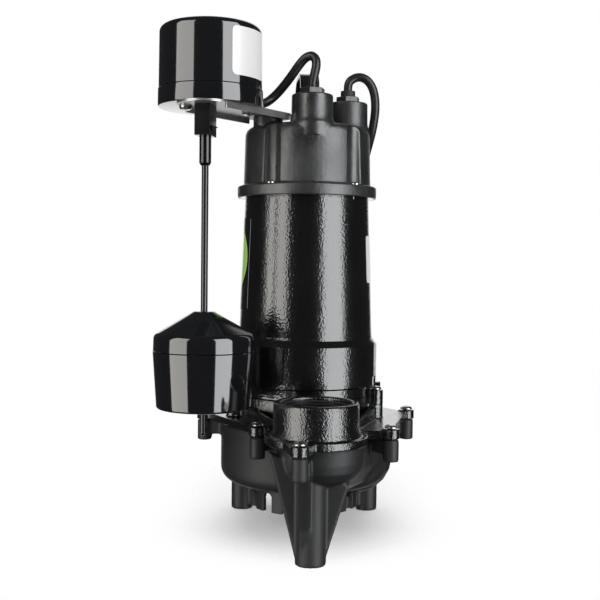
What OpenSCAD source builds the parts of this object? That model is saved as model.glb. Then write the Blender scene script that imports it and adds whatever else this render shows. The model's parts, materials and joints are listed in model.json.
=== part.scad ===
// Submersible sump pump with a vertical float switch, in millimetres.
// The motor's axis is vertical, the feet stand on z = 0 and the discharge points to -Y.

/* [Feet and volute] */
// Height of the volute's underside above the floor
volute_lift = 41; // [36:1:48]
// Outside radius of the round volute bowl
bowl_r = 76.4; // [74:0.2:78]
// Height from the volute's underside to its parting face
volute_h = 52.6; // [48:0.2:56]
// Wall of the volute
volute_wall = 5; // [4:0.5:6]
// Radius of the bowl's lower corner
bowl_corner_r = 13; // [8:1:18]
// Radius of the suction hole
suction_r = 22; // [18:1:26]
// Outside radius of the strainer skirt
strainer_r = 50; // [46:1:54]
// Wall of the strainer skirt
strainer_wall = 4; // [3:0.5:5]
// How far the strainer teeth reach below the volute
strainer_drop = 23; // [18:1:28]
// Number of slots in the strainer
strainer_slots = 15; // [12:1:18]
// Width of a strainer slot
slot_w = 9.5; // [7:0.5:11]
// Radius of the front foot
front_foot_r = 12.5; // [10:0.5:15]
// Radius of each rear foot
rear_foot_r = 10.5; // [9:0.5:12]

/* [Bosses and screws] */
// Radius of a volute screw boss
boss_r = 6.6; // [6:0.1:7]
// Height of a volute screw boss below the parting face
boss_h = 18; // [14:1:22]
// Radius of the casting's bosses
cast_boss_r = 7.3; // [7:0.1:8]
// Height of the casting's bosses above the parting face
cast_boss_h = 8.4; // [7.4:0.2:10]
// Shank radius of the volute and lug screws
screw_r = 2.8; // [2.4:0.1:3]
// Head radius of the volute and lug screws
dome_r = 5.6; // [5:0.1:6]
// Height of a domed head
dome_h = 3.8; // [3:0.2:4.4]

/* [Discharge] */
// Distance of the discharge axis in front of the motor axis
discharge_y = 110; // [106:1:114]
// Distance of the discharge axis to the right of the motor axis
discharge_x = 9.5; // [6:0.5:13]
// Outside radius of the collar at its mouth
collar_r = 34.8; // [33:0.1:36]
// Radius of the threaded bore, on its crests
thread_r = 28.9; // [27:0.1:30]
// Depth of the threaded bore
thread_h = 24; // [20:1:26]
// Height of the collar above the parting face
collar_h = 33.4; // [30:0.2:36]
// Radius of the flange lip round the collar
lip_r = 42; // [40:0.5:45]
// Thickness of the casting's plate
plate_t = 6.5; // [5.5:0.5:7]

/* [Motor] */
// Height of the casting's neck above the parting face
neck_h = 26; // [24:0.5:28]
// Outside radius of the neck and of the housing's foot
neck_r = 62; // [60:0.5:63]
// Outside radius of the housing's lower band
band_r = 65.5; // [64.5:0.1:67]
// Height of the lower band above the neck
band_h = 46; // [42:1:50]
// Radius of the barrel above the band
barrel_low_r = 60.9; // [60:0.1:62]
// Radius of the barrel under the cover
barrel_top_r = 56.3; // [56:0.1:58]
// Height of the motor housing
housing_h = 176.7; // [172:0.1:182]
// Wall of the motor housing at its top
housing_wall = 4.3; // [3.8:0.1:5]
// Width of the barrel's rim inside the cover's flange
rim_w = 4.7; // [4:0.1:5]
// Height of the rim
rim_h = 4.7; // [4:0.1:6]
// Radius of the motor shaft
shaft_r = 6.35; // [6:0.05:7]
// Radius of the rotor
rotor_r = 26.6; // [24:0.1:28]
// Air gap between the rotor and the stator
air_gap = 0.4; // [0.3:0.1:0.8]
// Length of a winding's end beyond the iron core
winding_h = 17; // [14:1:18]

/* [Impeller] */
// Radius of the impeller
impeller_r = 48; // [44:1:52]
// Number of vanes
vane_count = 6; // [4:1:8]
// Height of the vanes
vane_h = 20; // [14:1:22]
// Thickness of a vane
vane_t = 3; // [2:0.5:4]

/* [Cover] */
// Radius of the cover's flange
flange_r = 63.2; // [62.5:0.1:65]
// Height of the cover's flange
flange_h = 10.7; // [9:0.1:12]
// Radius of the cover above its flange
cover_r = 57.8; // [57:0.1:59]
// Height of the cover above its flange
cover_h = 53; // [50:1:56]
// Wall of the cover
cover_wall = 5; // [4:0.5:6]
// Radius of a turret
turret_r = 18.3; // [17.5:0.1:19]
// Distance of the turrets from the motor axis
turret_out = 37.3; // [36:0.1:38]
// Height of the turrets above the cover
turret_h = 24.5; // [22:0.5:27]
// Distance across the flats of a gland nut
gland_af = 19.5; // [18:0.5:22]
// Height of a gland nut
gland_h = 5.5; // [5:0.5:7]
// Diameter of both cords
cord_d = 8; // [7:0.1:9]

/* [Handle] */
// Width of the handle's strap
handle_w = 17; // [14:1:20]
// Thickness of the strap
handle_t = 3.5; // [3:0.5:4.5]
// Outside length of the handle
handle_span = 54; // [48:1:56]
// Height of the handle above the cover
handle_h = 50; // [44:1:54]

/* [Switch] */
// Distance of the rod's axis to the left of the motor axis
rod_out_x = 83.8; // [81:0.1:87]
// Distance of the rod's axis in front of the motor axis
rod_out_y = 88.5; // [86:0.1:92]
// Half the width of the bracket arm
arm_half_w = 23.5; // [22:0.5:25]
// Thickness of the bracket's sheet
sheet_t = 1.8; // [1.5:0.1:2.5]
// Depth of the bracket's turned-down flanges
arm_flange_h = 4; // [3:0.5:5]
// Height of the pad that carries the bracket
pad_h = 6.5; // [6:0.5:8]
// Radius of the switch foot
base_r = 44.5; // [43:0.1:46]
// Height of the switch foot
base_h = 15; // [14:0.5:18]
// Height of the switch case above its foot
case_h = 52.8; // [48:0.2:58]
// Wall of the switch case and its foot
case_wall = 2.6; // [2:0.1:3]
// Width of the rod guide
guide_w = 13; // [12.6:0.1:14]
// Depth of the rod guide
guide_d = 20; // [18:0.5:22]
// Height of the rod guide
guide_h = 25.5; // [24:0.5:28]

/* [Float] */
// Radius of the float rod
rod_r = 2.85; // [2.4:0.05:3.2]
// Length of the float rod
rod_len = 293; // [286:1:294]
// Radius of the sleeve on the rod
sleeve_r = 4.9; // [4.4:0.1:5]
// Length of the sleeve
sleeve_len = 34; // [30:1:38]
// How far the float lifts the rod
rod_stroke = 8; // [5:0.5:8]
// Largest radius of the float
float_r = 42.2; // [40:0.1:44]
// Radius of the float's bottom edge
float_low_r = 39.2; // [37:0.1:40]
// Height of the float
float_h = 80; // [74:1:84]
// Height of the seam above the float's bottom
seam_h = 47.4; // [43:0.2:50]

/* [Hidden] */

seat_gap = 0.3;      // gap left between seated pieces
bore_fn = 96;        // round facets of drawn circles
hull_fn = 32;        // facets of blended shapes
gasket_t = 0.8;

// Heights above the floor
parting_z = volute_lift + volute_h;
cast_z = parting_z + gasket_t;
plate_top_z = cast_z + plate_t;
neck_z = cast_z + neck_h;
housing_z = neck_z + seat_gap;
housing_top_z = housing_z + housing_h;
flange_z = housing_top_z;
body_z = flange_z + flange_h;
cover_top_z = body_z + cover_h;
turret_top_z = cover_top_z + turret_h;
gland_top_z = turret_top_z + gland_h;
sheet_z = cover_top_z + pad_h;
base_z = sheet_z + sheet_t;
case_z = base_z + base_h;
guide_z = sheet_z - guide_h;

// Plan of the volute's screw bosses, from the motor axis
bolts = [[-39, -84], [72, -89], [95.4, 16.4], [50, 75], [-46, 75.5], [-92, 2]];
front_bolt = [-3, -168];
all_bolts = concat([front_bolt], bolts);
front_foot = [6, -125];
rear_feet = [[-60, 50], [61, 50]];
discharge = [discharge_x, -discharge_y];
lug_angles = [-17.5, 90, 197.5];
lug_out = 66.6;
lug_r = 7;
lug_low_z = neck_z - 6.9;
lug_high_z = neck_z + 5.6;

// Plan of the cover
groove_angles = [-122.5, -44, 57, 136];
groove_r = 10.5;
groove_out = cover_r + 5.2;
rim_r = barrel_top_r + rim_w;
rim_top_z = flange_z + rim_h;
cover_screw_out = rim_r - 2.8;
screw_seat_z = body_z - 0.4;
turret_angles = [-84, 10.5];
pad = [-35, -26];
pad_r = 13;
capacitor = [-19, 18];
gland_hole_r = cord_d / 2 + 2.4;
handle_turn = 6;
handle_at = [-1, 12];

// Plan of the float switch
rod_at = [-rod_out_x, -rod_out_y];
can_at = [rod_at.x + 1.3, rod_at.y + 27.2];
switch_screw_at = [[rod_at.x - 17, rod_at.y + 6], [rod_at.x + 33, rod_at.y + 31]];
guide_turn = -10;
guide_bore_r = sleeve_r + 0.3;
spigot_r = guide_bore_r + 1;
sleeve_top_z = guide_z + 10;
sleeve_low_z = sleeve_top_z - sleeve_len;
rod_top_z = base_z + 18.6;
rod_low_z = rod_top_z - rod_len;
stop_r = 6.5;
stop_t = 4;
float_z = 118.5;
recess_r = 8;
recess_h = 7.5;
stop_z = float_z + recess_h - seat_gap - stop_t;
float_travel = sleeve_low_z - float_z - float_h - seat_gap;

// The switch mechanism inside the case
arm_pivot_back = 28;
arm_w = 8;
arm_t = 2.4;
arm_z = rod_top_z + 0.5;
pin_r = 1.5;
micro_h = 15;

// The shaft and what it carries
impeller_top_z = cast_z - 8;
plate_low_z = impeller_top_z - 3.5;
vane_low_z = plate_low_z - vane_h;
shaft_low_z = vane_low_z - 3;
shaft_top_z = housing_top_z - 14;
core_z = housing_z + winding_h + 21;
bracket_z = housing_top_z - 36;
core_h = bracket_z - core_z - winding_h - 11.7;
housing_bore_r = barrel_top_r - housing_wall;
hub_h = 20;
bearing_h = 11;
upper_bearing_r = 14;
lower_bearing_r = 17.5;
lower_bearing_z = neck_z - bearing_h;
bearing_gap = 0.15;
seal_r = 15.5;

// Boxes reached by the whole pump without its cord, from the motor axis
reach_left = -can_at.x + base_r;
reach_right = bolts[2].x + cast_boss_r;
reach_front = -front_bolt.y + cast_boss_r;
reach_back = bolts[4].y + cast_boss_r;
motor_x = (reach_left - reach_right) / 2;
motor_y = (reach_front - reach_back) / 2;

// Routes of the cords, from the motor axis, and the coil behind the pump
switch_proud = 0.6;
power_proud = 5.6;
port_angle = 41;
port_proud = 5.6;
port_out = [cos(port_angle), sin(port_angle), 0];
port_end = [can_at.x, can_at.y, base_z + base_h - 5] + (base_r + port_proud) * port_out;
lead_start = [turret_out * cos(turret_angles[0]), turret_out * sin(turret_angles[0]), gland_top_z + switch_proud];
cord_start = [turret_out * cos(turret_angles[1]), turret_out * sin(turret_angles[1]), gland_top_z + power_proud];
lead_route = concat([lead_start, lead_start + [0, 0, 4]], [
    [4.6, -36.8, 400], [5.8, -36.4, 405.4], [6.9, -35.5, 411.4], [6.3, -34, 417],
    [3, -32, 420.4], [-2, -30, 419.4], [-7.5, -28, 414], [-13.5, -25.5, 406], [-20, -22.5, 397.8],
    [-26.5, -19.8, 390.6], [-32.6, -19.4, 384.8], [-37.6, -22.4, 381]
], [port_end + 4 * port_out, port_end]);
cord_route = concat([cord_start, cord_start + [0, 0, 4]], [
    [37.5, 6.8, 404.5], [40, 6.9, 407.4], [44, 7, 409.4], [48.8, 7, 409.6],
    [53.6, 7.2, 407.4], [57.6, 7.8, 403], [60.3, 8.8, 397], [61.8, 10.2, 389.6], [62.2, 12.2, 381],
    [61.4, 15.4, 371], [59.6, 20, 360], [57.2, 26.6, 349.5], [54.6, 34, 338], [52.8, 40, 325],
    [51.8, 45, 311], [51.3, 48, 296], [51, 50, 277], [51, 52, 254], [51, 54, 230], [51, 57, 206],
    [51, 61, 182], [50.8, 68, 158], [50.6, 78, 136], [50.4, 89, 114], [50, 98, 92], [49.5, 105, 70],
    [50, 112, 48], [52, 121, 29], [56, 133, 15], [61, 148, 7.6], [66.5, 165, 5.8],
    [70.4, 181, 5.6], [72.3, 196, 5.6]
]);
coil_at = [12, 196];
coil_turns = 3;
coil_layers = 3;
coil_inner_r = 32;
coil_outer_r = coil_inner_r + coil_turns * cord_d;
coil_low_z = 1.5;
coil_h = coil_layers * cord_d + 0.2;
tie_w = 12;
tie_t = 1.2;
plug_z = coil_low_z + coil_h + 0.3;

// Shifts the drawing so that the pump stands centred on the origin
module placed() {
    translate([motor_x, motor_y, 0])
        children();
}

module tube(outer, inner, height) {
    difference() {
        cylinder(h = height, r = outer, $fn = bore_fn);
        translate([0, 0, -1])
            cylinder(h = height + 2, r = inner, $fn = bore_fn);
    }
}

// A screw with a domed head whose seat is at the origin
module dome_screw(shank) {
    rotate_extrude($fn = 48)
        polygon(concat(
            [[0, -shank], [screw_r - 0.6, -shank], [screw_r, -shank + 1], [screw_r, 0]],
            [for (a = [0 : 15 : 90]) [dome_r * cos(a), 0.9 + (dome_h - 0.9) * sin(a)]],
            [[0, dome_h]]
        ));
}

// A pan head screw whose seat is at the origin
module pan_screw(shank, head, shank_r) {
    rotate_extrude($fn = 48)
        polygon([
            [0, -shank], [shank_r, -shank], [shank_r, 0], [head, 0], [head, head * 0.3],
            [head * 0.8, head * 0.55], [head * 0.45, head * 0.68], [0, head * 0.7]
        ]);
}

module hex_prism(across_flats, height) {
    cylinder(h = height, r = across_flats / sqrt(3), $fn = 6);
}

// The volute: bowl, discharge scroll, strainer skirt, legs and bosses
module bowl_profile(grow) {
    r = bowl_r + grow;
    corner = bowl_corner_r + grow;
    low = volute_lift - grow;
    polygon(concat(
        [[0, low]],
        [for (a = [-90 : 10 : 0]) [r - corner + corner * cos(a), low + corner + corner * sin(a)]],
        [[r, parting_z], [0, parting_z]]
    ));
}

// A rounded dish under the parting face: its radius, depth and straight rim
module dish(r, deep, rim) {
    rotate_extrude($fn = bore_fn)
        polygon(concat(
            [[0, parting_z - deep]],
            [for (a = [-72 : 18 : 0]) [r * cos(a), parting_z - rim + (deep - rim) * sin(a)]],
            [[r, parting_z], [0, parting_z]]
        ));
}

module scroll(grow) {
    deep_at = [45, 2];
    elbow_at = [discharge.x + 4, discharge.y + 2];
    run = elbow_at - deep_at;
    translate(deep_at)
        dish(36 + grow, 66 + grow, 32);
    translate(elbow_at)
        dish(36 + grow, 36 + grow, 12);
    difference() {
        translate([deep_at.x, deep_at.y, parting_z - 27])
            rotate([0, 90 - atan2(17, norm(run)), atan2(run.y, run.x)])
                rotate([0, 0, 15])
                    cylinder(h = norm(run) + 4, r = 33 + grow, $fn = 12);
        translate([0, 0, parting_z + 50])
            cube([400, 500, 100], center = true);
    }
}

module front_leg() {
    translate([front_foot.x, front_foot.y, 0]) {
        cylinder(h = parting_z - 24, r = front_foot_r, $fn = bore_fn);
        rotate([90, 0, 0])
            translate([0, 0, -5])
                linear_extrude(9)
                    polygon([[-front_foot_r, 5], [-34, parting_z - 4], [30, parting_z - 30], [front_foot_r, 7]]);
    }
    translate([front_foot.x - 5, front_foot.y, 0])
        rotate([90, 0, -90])
            translate([0, 0, -4])
                linear_extrude(8)
                    polygon([
                        [front_foot_r - 3, 8], [front_foot_r + 1, 30], [37.6, parting_z - boss_h + 2],
                        [37.6, parting_z - 4], [0, parting_z - 12], [0, 8]
                    ]);
}

module rear_leg(at) {
    translate([at.x, at.y, 0])
        cylinder(h = volute_lift + 20, r = rear_foot_r, $fn = bore_fn);
    rotate([0, 0, atan2(at.y, at.x)])
        translate([strainer_r - 2, -3, 4])
            cube([norm(at) - strainer_r, 6, volute_lift]);
}

// The slotted skirt that keeps debris out, pressed up against the bowl
module strainer() {
    low = volute_lift - strainer_drop;
    color([0.2, 0.205, 0.21])
        placed()
            difference() {
                translate([0, 0, low])
                    tube(strainer_r, strainer_r - strainer_wall, strainer_drop);
                for (i = [0 : strainer_slots - 1])
                    rotate([0, 0, i * 360 / strainer_slots + 14])
                        translate([strainer_r - 10, 0, 0]) {
                            translate([0, -slot_w / 2, low - 1])
                                cube([20, slot_w, strainer_drop - slot_w / 2 - 5]);
                            translate([0, 0, volute_lift - slot_w / 2 - 6])
                                rotate([0, 90, 0])
                                    cylinder(h = 20, r = slot_w / 2, $fn = 32);
                        }
            }
}

module boss_webs() {
    for (p = bolts)
        rotate([0, 0, atan2(p.y, p.x)])
            translate([bowl_r - 12, -4, parting_z - boss_h + 5])
                cube([norm(p) - bowl_r + 7.3, 8, boss_h - 5]);
    translate([front_bolt.x - 4, front_bolt.y + 4.6, parting_z - boss_h + 4])
        cube([8, 26, boss_h - 4]);
}

module volute_boss() {
    difference() {
        cylinder(h = boss_h, r = boss_r, $fn = 48);
        translate([0, 0, 3])
            cylinder(h = boss_h, r = screw_r + 0.1, $fn = 32);
    }
}

module volute_body() {
    difference() {
        union() {
            rotate_extrude($fn = bore_fn)
                bowl_profile(0);
            scroll(0);
            front_leg();
            for (p = rear_feet)
                rear_leg(p);
            boss_webs();
        }
        translate([0, 0, -1])
            cylinder(h = volute_lift + 1, r = strainer_r + seat_gap, $fn = bore_fn);
        translate([0, 0, volute_lift + volute_wall])
            cylinder(h = volute_h, r = impeller_r + 9, $fn = bore_fn);
        difference() {
            scroll(-volute_wall - 1);
            translate([0, 0, volute_lift + volute_wall + 0.6 - 100])
                cylinder(h = 100, r = 2 * bowl_r, $fn = bore_fn);
        }
        translate([0, 0, volute_lift - 1])
            cylinder(h = volute_wall + 3, r = suction_r, $fn = bore_fn);
    }
}

module volute() {
    color([0.2, 0.205, 0.21])
        placed() {
            volute_body();
            for (p = all_bolts)
                translate([p.x, p.y, parting_z - boss_h])
                    volute_boss();
        }
}

// Outline of the casting's plate: straight runs between the bosses, round lip at the collar
module plate_outline(inset) {
    difference() {
        union() {
            polygon([for (p = bolts) p * (1 - inset / 90)]);
            circle(r = bowl_r - inset, $fn = bore_fn);
            translate(discharge)
                circle(r = lip_r - inset, $fn = bore_fn);
            for (p = bolts)
                translate(p)
                    circle(r = cast_boss_r - inset, $fn = 48);
        }
    }
    translate(front_bolt)
        circle(r = cast_boss_r - inset, $fn = 48);
    polygon([
        front_bolt + [-cast_boss_r + inset, 0], front_bolt + [cast_boss_r - inset, 0],
        discharge + [2, -30], discharge + [-26, -30]
    ]);
}

module volute_gasket() {
    color([0.08, 0.08, 0.08])
        placed()
            translate([0, 0, parting_z])
                difference() {
                    linear_extrude(gasket_t)
                        plate_outline(2.5);
                    translate([0, 0, -1])
                        cylinder(h = 4, r = impeller_r + 9, $fn = bore_fn);
                    translate([discharge.x, discharge.y, -1])
                        cylinder(h = 4, r = thread_r, $fn = bore_fn);
                    for (p = all_bolts)
                        translate([p.x, p.y, -1])
                            cylinder(h = 4, r = screw_r + 0.3, $fn = 32);
                }
}

module lug_columns(low, high) {
    for (a = lug_angles)
        rotate([0, 0, a]) {
            translate([lug_out, 0, low])
                cylinder(h = high - low, r = lug_r, $fn = 48);
            translate([lug_out - 12, -lug_r + 1, low])
                cube([12, 2 * lug_r - 2, high - low]);
        }
}

// The cast cover of the pump with its discharge collar and the neck that carries the motor
module discharge_casting() {
    color([0.06, 0.06, 0.065])
        placed()
            difference() {
                union() {
                    for (p = all_bolts)
                        translate([p.x, p.y, cast_z])
                            cylinder(h = cast_boss_h, r = cast_boss_r, $fn = 48);
                    translate([0, 0, cast_z])
                        linear_extrude(plate_t)
                            plate_outline(0);
                    translate([0, 0, cast_z])
                        cylinder(h = neck_h, r = neck_r, $fn = bore_fn);
                    lug_columns(cast_z, lug_low_z);
                    translate([discharge.x, discharge.y, cast_z])
                        rotate_extrude($fn = bore_fn)
                            polygon([
                                [0, 0], [collar_r + 2.6, 0], [collar_r + 2, plate_t + 1.5],
                                [collar_r + 0.4, plate_t + 5], [collar_r, collar_h - 2.5],
                                [collar_r - 0.7, collar_h - 0.7], [collar_r - 2.2, collar_h], [0, collar_h]
                            ]);
                    translate([discharge.x - 24, discharge.y, cast_z])
                        cube([44, 60, plate_t + 7]);
                    collar_rib([discharge.x + collar_r - 6, discharge.y + 12], [62, -24]);
                    collar_rib([discharge.x - collar_r + 6, discharge.y + 12], [-46, -44]);
                }
                for (p = all_bolts)
                    translate([p.x, p.y, cast_z - 1])
                        cylinder(h = cast_boss_h + 2, r = screw_r + 0.1, $fn = 32);
                translate([discharge.x, discharge.y, 0]) {
                    translate([0, 0, cast_z + collar_h - thread_h])
                        cylinder(h = thread_h + 1, r = thread_r, $fn = bore_fn);
                    translate([0, 0, cast_z - 1])
                        cylinder(h = collar_h, r = thread_r - 3, $fn = bore_fn);
                    translate([0, 0, cast_z + collar_h - 1.3])
                        cylinder(h = 1.4, r1 = thread_r, r2 = thread_r + 1.4, $fn = bore_fn);
                }
                translate([0, 0, cast_z - 1])
                    cylinder(h = neck_h + 2, r = shaft_r + 1.2, $fn = bore_fn);
                translate([0, 0, cast_z - 1])
                    cylinder(h = 11.4, r = seal_r, $fn = bore_fn);
                translate([0, 0, lower_bearing_z])
                    cylinder(h = bearing_h + 1, r = lower_bearing_r + 0.05, $fn = bore_fn);
                translate([0, 0, neck_z - 2.6])
                    tube(neck_r - 3.2, neck_r - 6.4, 4);
                for (a = lug_angles)
                    rotate([0, 0, a])
                        translate([lug_out, 0, lug_low_z - 12])
                            cylinder(h = 20, r = screw_r + 0.1, $fn = 32);
            }
}

// A sloping rib from the collar's side to the motor's neck
module collar_rib(from, to) {
    run = to - from;
    translate([from.x, from.y, cast_z])
        rotate([0, 0, atan2(run.y, run.x)])
            translate([0, 2.5, 0])
                rotate([90, 0, 0])
                    linear_extrude(5)
                        polygon([[0, 0], [0, plate_t + 5], [norm(run), neck_h - 9], [norm(run), 0]]);
}

module volute_screws() {
    color([0.5, 0.5, 0.52])
        placed()
            for (p = all_bolts)
                translate([p.x, p.y, cast_z + cast_boss_h])
                    dome_screw(cast_boss_h + boss_h - 5);
}

module housing_o_ring() {
    color([0.1, 0.1, 0.1])
        placed()
            rotate_extrude($fn = bore_fn)
                translate([neck_r - 4.8, neck_z - 2.6 + 1.4])
                    circle(r = 1.4, $fn = 24);
}

// The gloss barrel: foot, wider lower band, tapered shell and three lugs
module motor_housing() {
    band_top = neck_z + band_h;
    color([0.05, 0.05, 0.055])
        placed()
            difference() {
                union() {
                    rotate_extrude($fn = bore_fn)
                        polygon([
                            [0, housing_z], [neck_r, housing_z], [neck_r, neck_z + 8.6], [band_r - 1.4, neck_z + 9],
                            [band_r - 0.3, neck_z + 10.4], [band_r, neck_z + 14], [band_r, band_top],
                            [barrel_low_r + 0.4, band_top + 5.6], [barrel_low_r, band_top + 8],
                            [barrel_top_r, flange_z + 0.2], [rim_r, flange_z + 0.2], [rim_r, rim_top_z - 0.4],
                            [rim_r - 0.4, rim_top_z], [0, rim_top_z]
                        ]);
                    lug_columns(lug_low_z, lug_high_z);
                    for (a = lug_angles)
                        rotate([0, 0, a + 9])
                            translate([lug_out - 4, 0, lug_low_z + 8])
                                cylinder(h = 10.5, r = lug_r, $fn = 48);
                }
                translate([0, 0, housing_z - 1])
                    cylinder(h = housing_h + rim_h + 3, r = housing_bore_r, $fn = bore_fn);
                for (a = groove_angles)
                    rotate([0, 0, a])
                        translate([cover_screw_out, 0, flange_z - 2])
                            cylinder(h = rim_h + 4, r = 2.2, $fn = 32);
                for (a = lug_angles)
                    rotate([0, 0, a]) {
                        translate([lug_out, 0, 0])
                            cylinder(h = 200, r = screw_r + 0.1, $fn = 32);
                        translate([lug_out, 0, lug_high_z])
                            cylinder(h = 12, r = dome_r + 0.3, $fn = 48);
                    }
                translate([0, 0, lug_low_z - 5])
                    cylinder(h = housing_z - lug_low_z + 5, r = neck_r + 0.2, $fn = bore_fn);
            }
}

module housing_screws() {
    color([0.45, 0.45, 0.47])
        placed()
            for (a = lug_angles)
                rotate([0, 0, a])
                    translate([lug_out, 0, lug_high_z])
                        dome_screw(lug_high_z - lug_low_z + 10);
}

// The moulded cover: flange, fluted body and the two turrets that the cords leave from
module cover_outside() {
    top_r = cover_r - 1.3;
    edge = 8;
    rotate_extrude($fn = bore_fn)
        polygon(concat(
            [[0, flange_z], [flange_r - 0.8, flange_z], [flange_r, flange_z + 0.8],
             [flange_r, body_z - 1.2], [flange_r - 1.2, body_z], [cover_r, body_z]],
            [for (a = [0 : 10 : 90]) [top_r - edge + edge * cos(a), cover_top_z - edge + edge * sin(a)]],
            [[0, cover_top_z]]
        ));
}

module turret() {
    low = cover_top_z - 12;
    rotate_extrude($fn = bore_fn)
        polygon([
            [0, low], [turret_r + 2.4, low], [turret_r + 2.2, cover_top_z - 1], [turret_r + 0.8, cover_top_z + 2],
            [turret_r, cover_top_z + 5], [turret_r - 0.2, turret_top_z - 0.8],
            [turret_r - 1, turret_top_z], [0, turret_top_z]
        ]);
}

module at_turret(i) {
    rotate([0, 0, turret_angles[i]])
        translate([turret_out, 0, 0])
            rotate([0, 0, -turret_angles[i]])
                children();
}

module top_cover() {
    color([0.17, 0.172, 0.175])
        placed()
            difference() {
                union() {
                    difference() {
                        cover_outside();
                        for (a = groove_angles)
                            rotate([0, 0, a])
                                translate([groove_out, 0, screw_seat_z])
                                    cylinder(h = cover_h + 10, r = groove_r, $fn = 48);
                    }
                    for (i = [0, 1])
                        at_turret(i)
                            turret();
                    translate([pad.x, pad.y, cover_top_z - 2])
                        cylinder(h = pad_h + 2, r = pad_r, $fn = 48);
                }
                translate([0, 0, flange_z - 1])
                    cylinder(h = flange_h + cover_h + 1 - cover_wall, r = cover_r - 10, $fn = bore_fn);
                for (i = [0, 1])
                    at_turret(i)
                        translate([0, 0, cover_top_z - 20])
                            cylinder(h = 100, r = gland_hole_r, $fn = 48);
                translate([pad.x, pad.y, cover_top_z - 4])
                    cylinder(h = 30, r = 3.1, $fn = 32);
                handle_places()
                    translate([0, 0, cover_top_z - 4])
                        cylinder(h = 10, r = 2.1, $fn = 32);
                for (a = groove_angles)
                    rotate([0, 0, a])
                        translate([cover_screw_out, 0, flange_z - 1])
                            cylinder(h = flange_h + 2, r = 2.2, $fn = 32);
                translate([0, 0, flange_z - 1])
                    cylinder(h = rim_h + seat_gap + 1, r = rim_r + seat_gap, $fn = bore_fn);
                translate([0, 0, rim_top_z])
                    tube(barrel_top_r - 1, barrel_top_r - 3.2, 1.9);
            }
}

module cover_o_ring() {
    color([0.1, 0.1, 0.1])
        placed()
            rotate_extrude($fn = bore_fn)
                translate([barrel_top_r - 2.1, rim_top_z + 0.95])
                    circle(r = 0.85, $fn = 24);
}

module cover_screws() {
    color([0.62, 0.62, 0.64])
        placed()
            for (a = groove_angles)
                rotate([0, 0, a])
                    translate([cover_screw_out, 0, screw_seat_z])
                        pan_screw(screw_seat_z - flange_z - 1, 3.9, 2.1);
}

module gland_nut(i, turn) {
    placed()
        at_turret(i)
            translate([0, 0, turret_top_z])
                rotate([0, 0, turn])
                    difference() {
                        union() {
                            hex_prism(gland_af, gland_h);
                            translate([0, 0, -8])
                                cylinder(h = 9, r = gland_hole_r - 0.1, $fn = 48);
                        }
                        translate([0, 0, -9])
                            cylinder(h = gland_h + 10, r = cord_d / 2 + 1.3, $fn = 48);
                    }
}

// A rubber grommet round the cord, standing proud of its gland nut
module grommet(i, proud) {
    placed()
        at_turret(i)
            translate([0, 0, turret_top_z - 7]) {
                cylinder(h = gland_h + 7, r = cord_d / 2 + 1.2, $fn = 48);
                translate([0, 0, gland_h + 7])
                    cylinder(h = proud, r1 = proud > 2 ? 6.8 : 5.2, r2 = proud > 2 ? 6.6 : 4.8, $fn = 48);
            }
}

module switch_gland_nut() {
    color([0.24, 0.24, 0.25])
        gland_nut(0, 17);
}

module switch_grommet() {
    color([0.07, 0.07, 0.07])
        grommet(0, switch_proud);
}

module power_gland_nut() {
    color([0.24, 0.24, 0.25])
        gland_nut(1, 17);
}

module power_grommet() {
    color([0.07, 0.07, 0.07])
        grommet(1, power_proud);
}

// The strap handle: two feet, two legs and a rounded top
module handle_frame() {
    translate([handle_at.x, handle_at.y, cover_top_z])
        rotate([0, 0, handle_turn])
            children();
}

module handle_places() {
    translate([handle_at.x, handle_at.y, 0])
        rotate([0, 0, handle_turn])
            for (s = [-1, 1])
                translate([0, s * (handle_span / 2 - handle_t - 7), 0])
                    children();
}

module strap_outline(length, height, corner) {
    hull() {
        translate([-length / 2, 0])
            square([length, 1]);
        for (s = [-1, 1])
            translate([s * (length / 2 - corner), height - corner])
                circle(r = corner, $fn = 48);
    }
}

module lift_handle() {
    inner_len = handle_span - 2 * handle_t;
    color([0.05, 0.05, 0.05])
        placed()
            handle_frame()
                difference() {
                    rotate([90, 0, 90])
                        translate([0, 0, -handle_w / 2])
                            linear_extrude(handle_w)
                                difference() {
                                    strap_outline(handle_span, handle_h, 17);
                                    translate([0, handle_t - 0.1])
                                        strap_outline(inner_len, handle_h - 2 * handle_t + 0.1, 17 - handle_t);
                                    translate([-inner_len / 2 + 14, -1])
                                        square([inner_len - 28, handle_t + 3]);
                                }
                    for (s = [-1, 1])
                        translate([0, s * (handle_span / 2 - handle_t - 7), -1])
                            cylinder(h = 10, r = 2.2, $fn = 32);
                }
}

module handle_screws() {
    color([0.5, 0.5, 0.52])
        placed()
            handle_places()
                translate([0, 0, cover_top_z + handle_t])
                    pan_screw(handle_t + 3.5, 3.9, 2);
}

module run_capacitor() {
    color([0.75, 0.76, 0.78])
        placed()
            translate([capacitor.x, capacitor.y, body_z - 6]) {
                cylinder(h = cover_h - 4, r = 18, $fn = bore_fn);
                for (s = [-6, 6])
                    translate([s - 1, -3, -8])
                        cube([1, 6, 8.5]);
            }
    color([0.75, 0.76, 0.78])
        placed()
            translate([capacitor.x, capacitor.y, body_z + cover_h - 10.5])
                cylinder(h = cover_h > 0 ? 5.2 : 1, r = 8, $fn = 48);
}

// The motor's fixed iron and copper
module stator_core() {
    color([0.42, 0.43, 0.45])
        placed()
            translate([0, 0, core_z])
                difference() {
                    tube(housing_bore_r - 0.2, rotor_r + air_gap, core_h);
                    for (i = [0 : 11])
                        rotate([0, 0, i * 30])
                            translate([rotor_r + 4, -2.5, -1])
                                cube([12, 5, core_h + 2]);
                }
}

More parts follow.
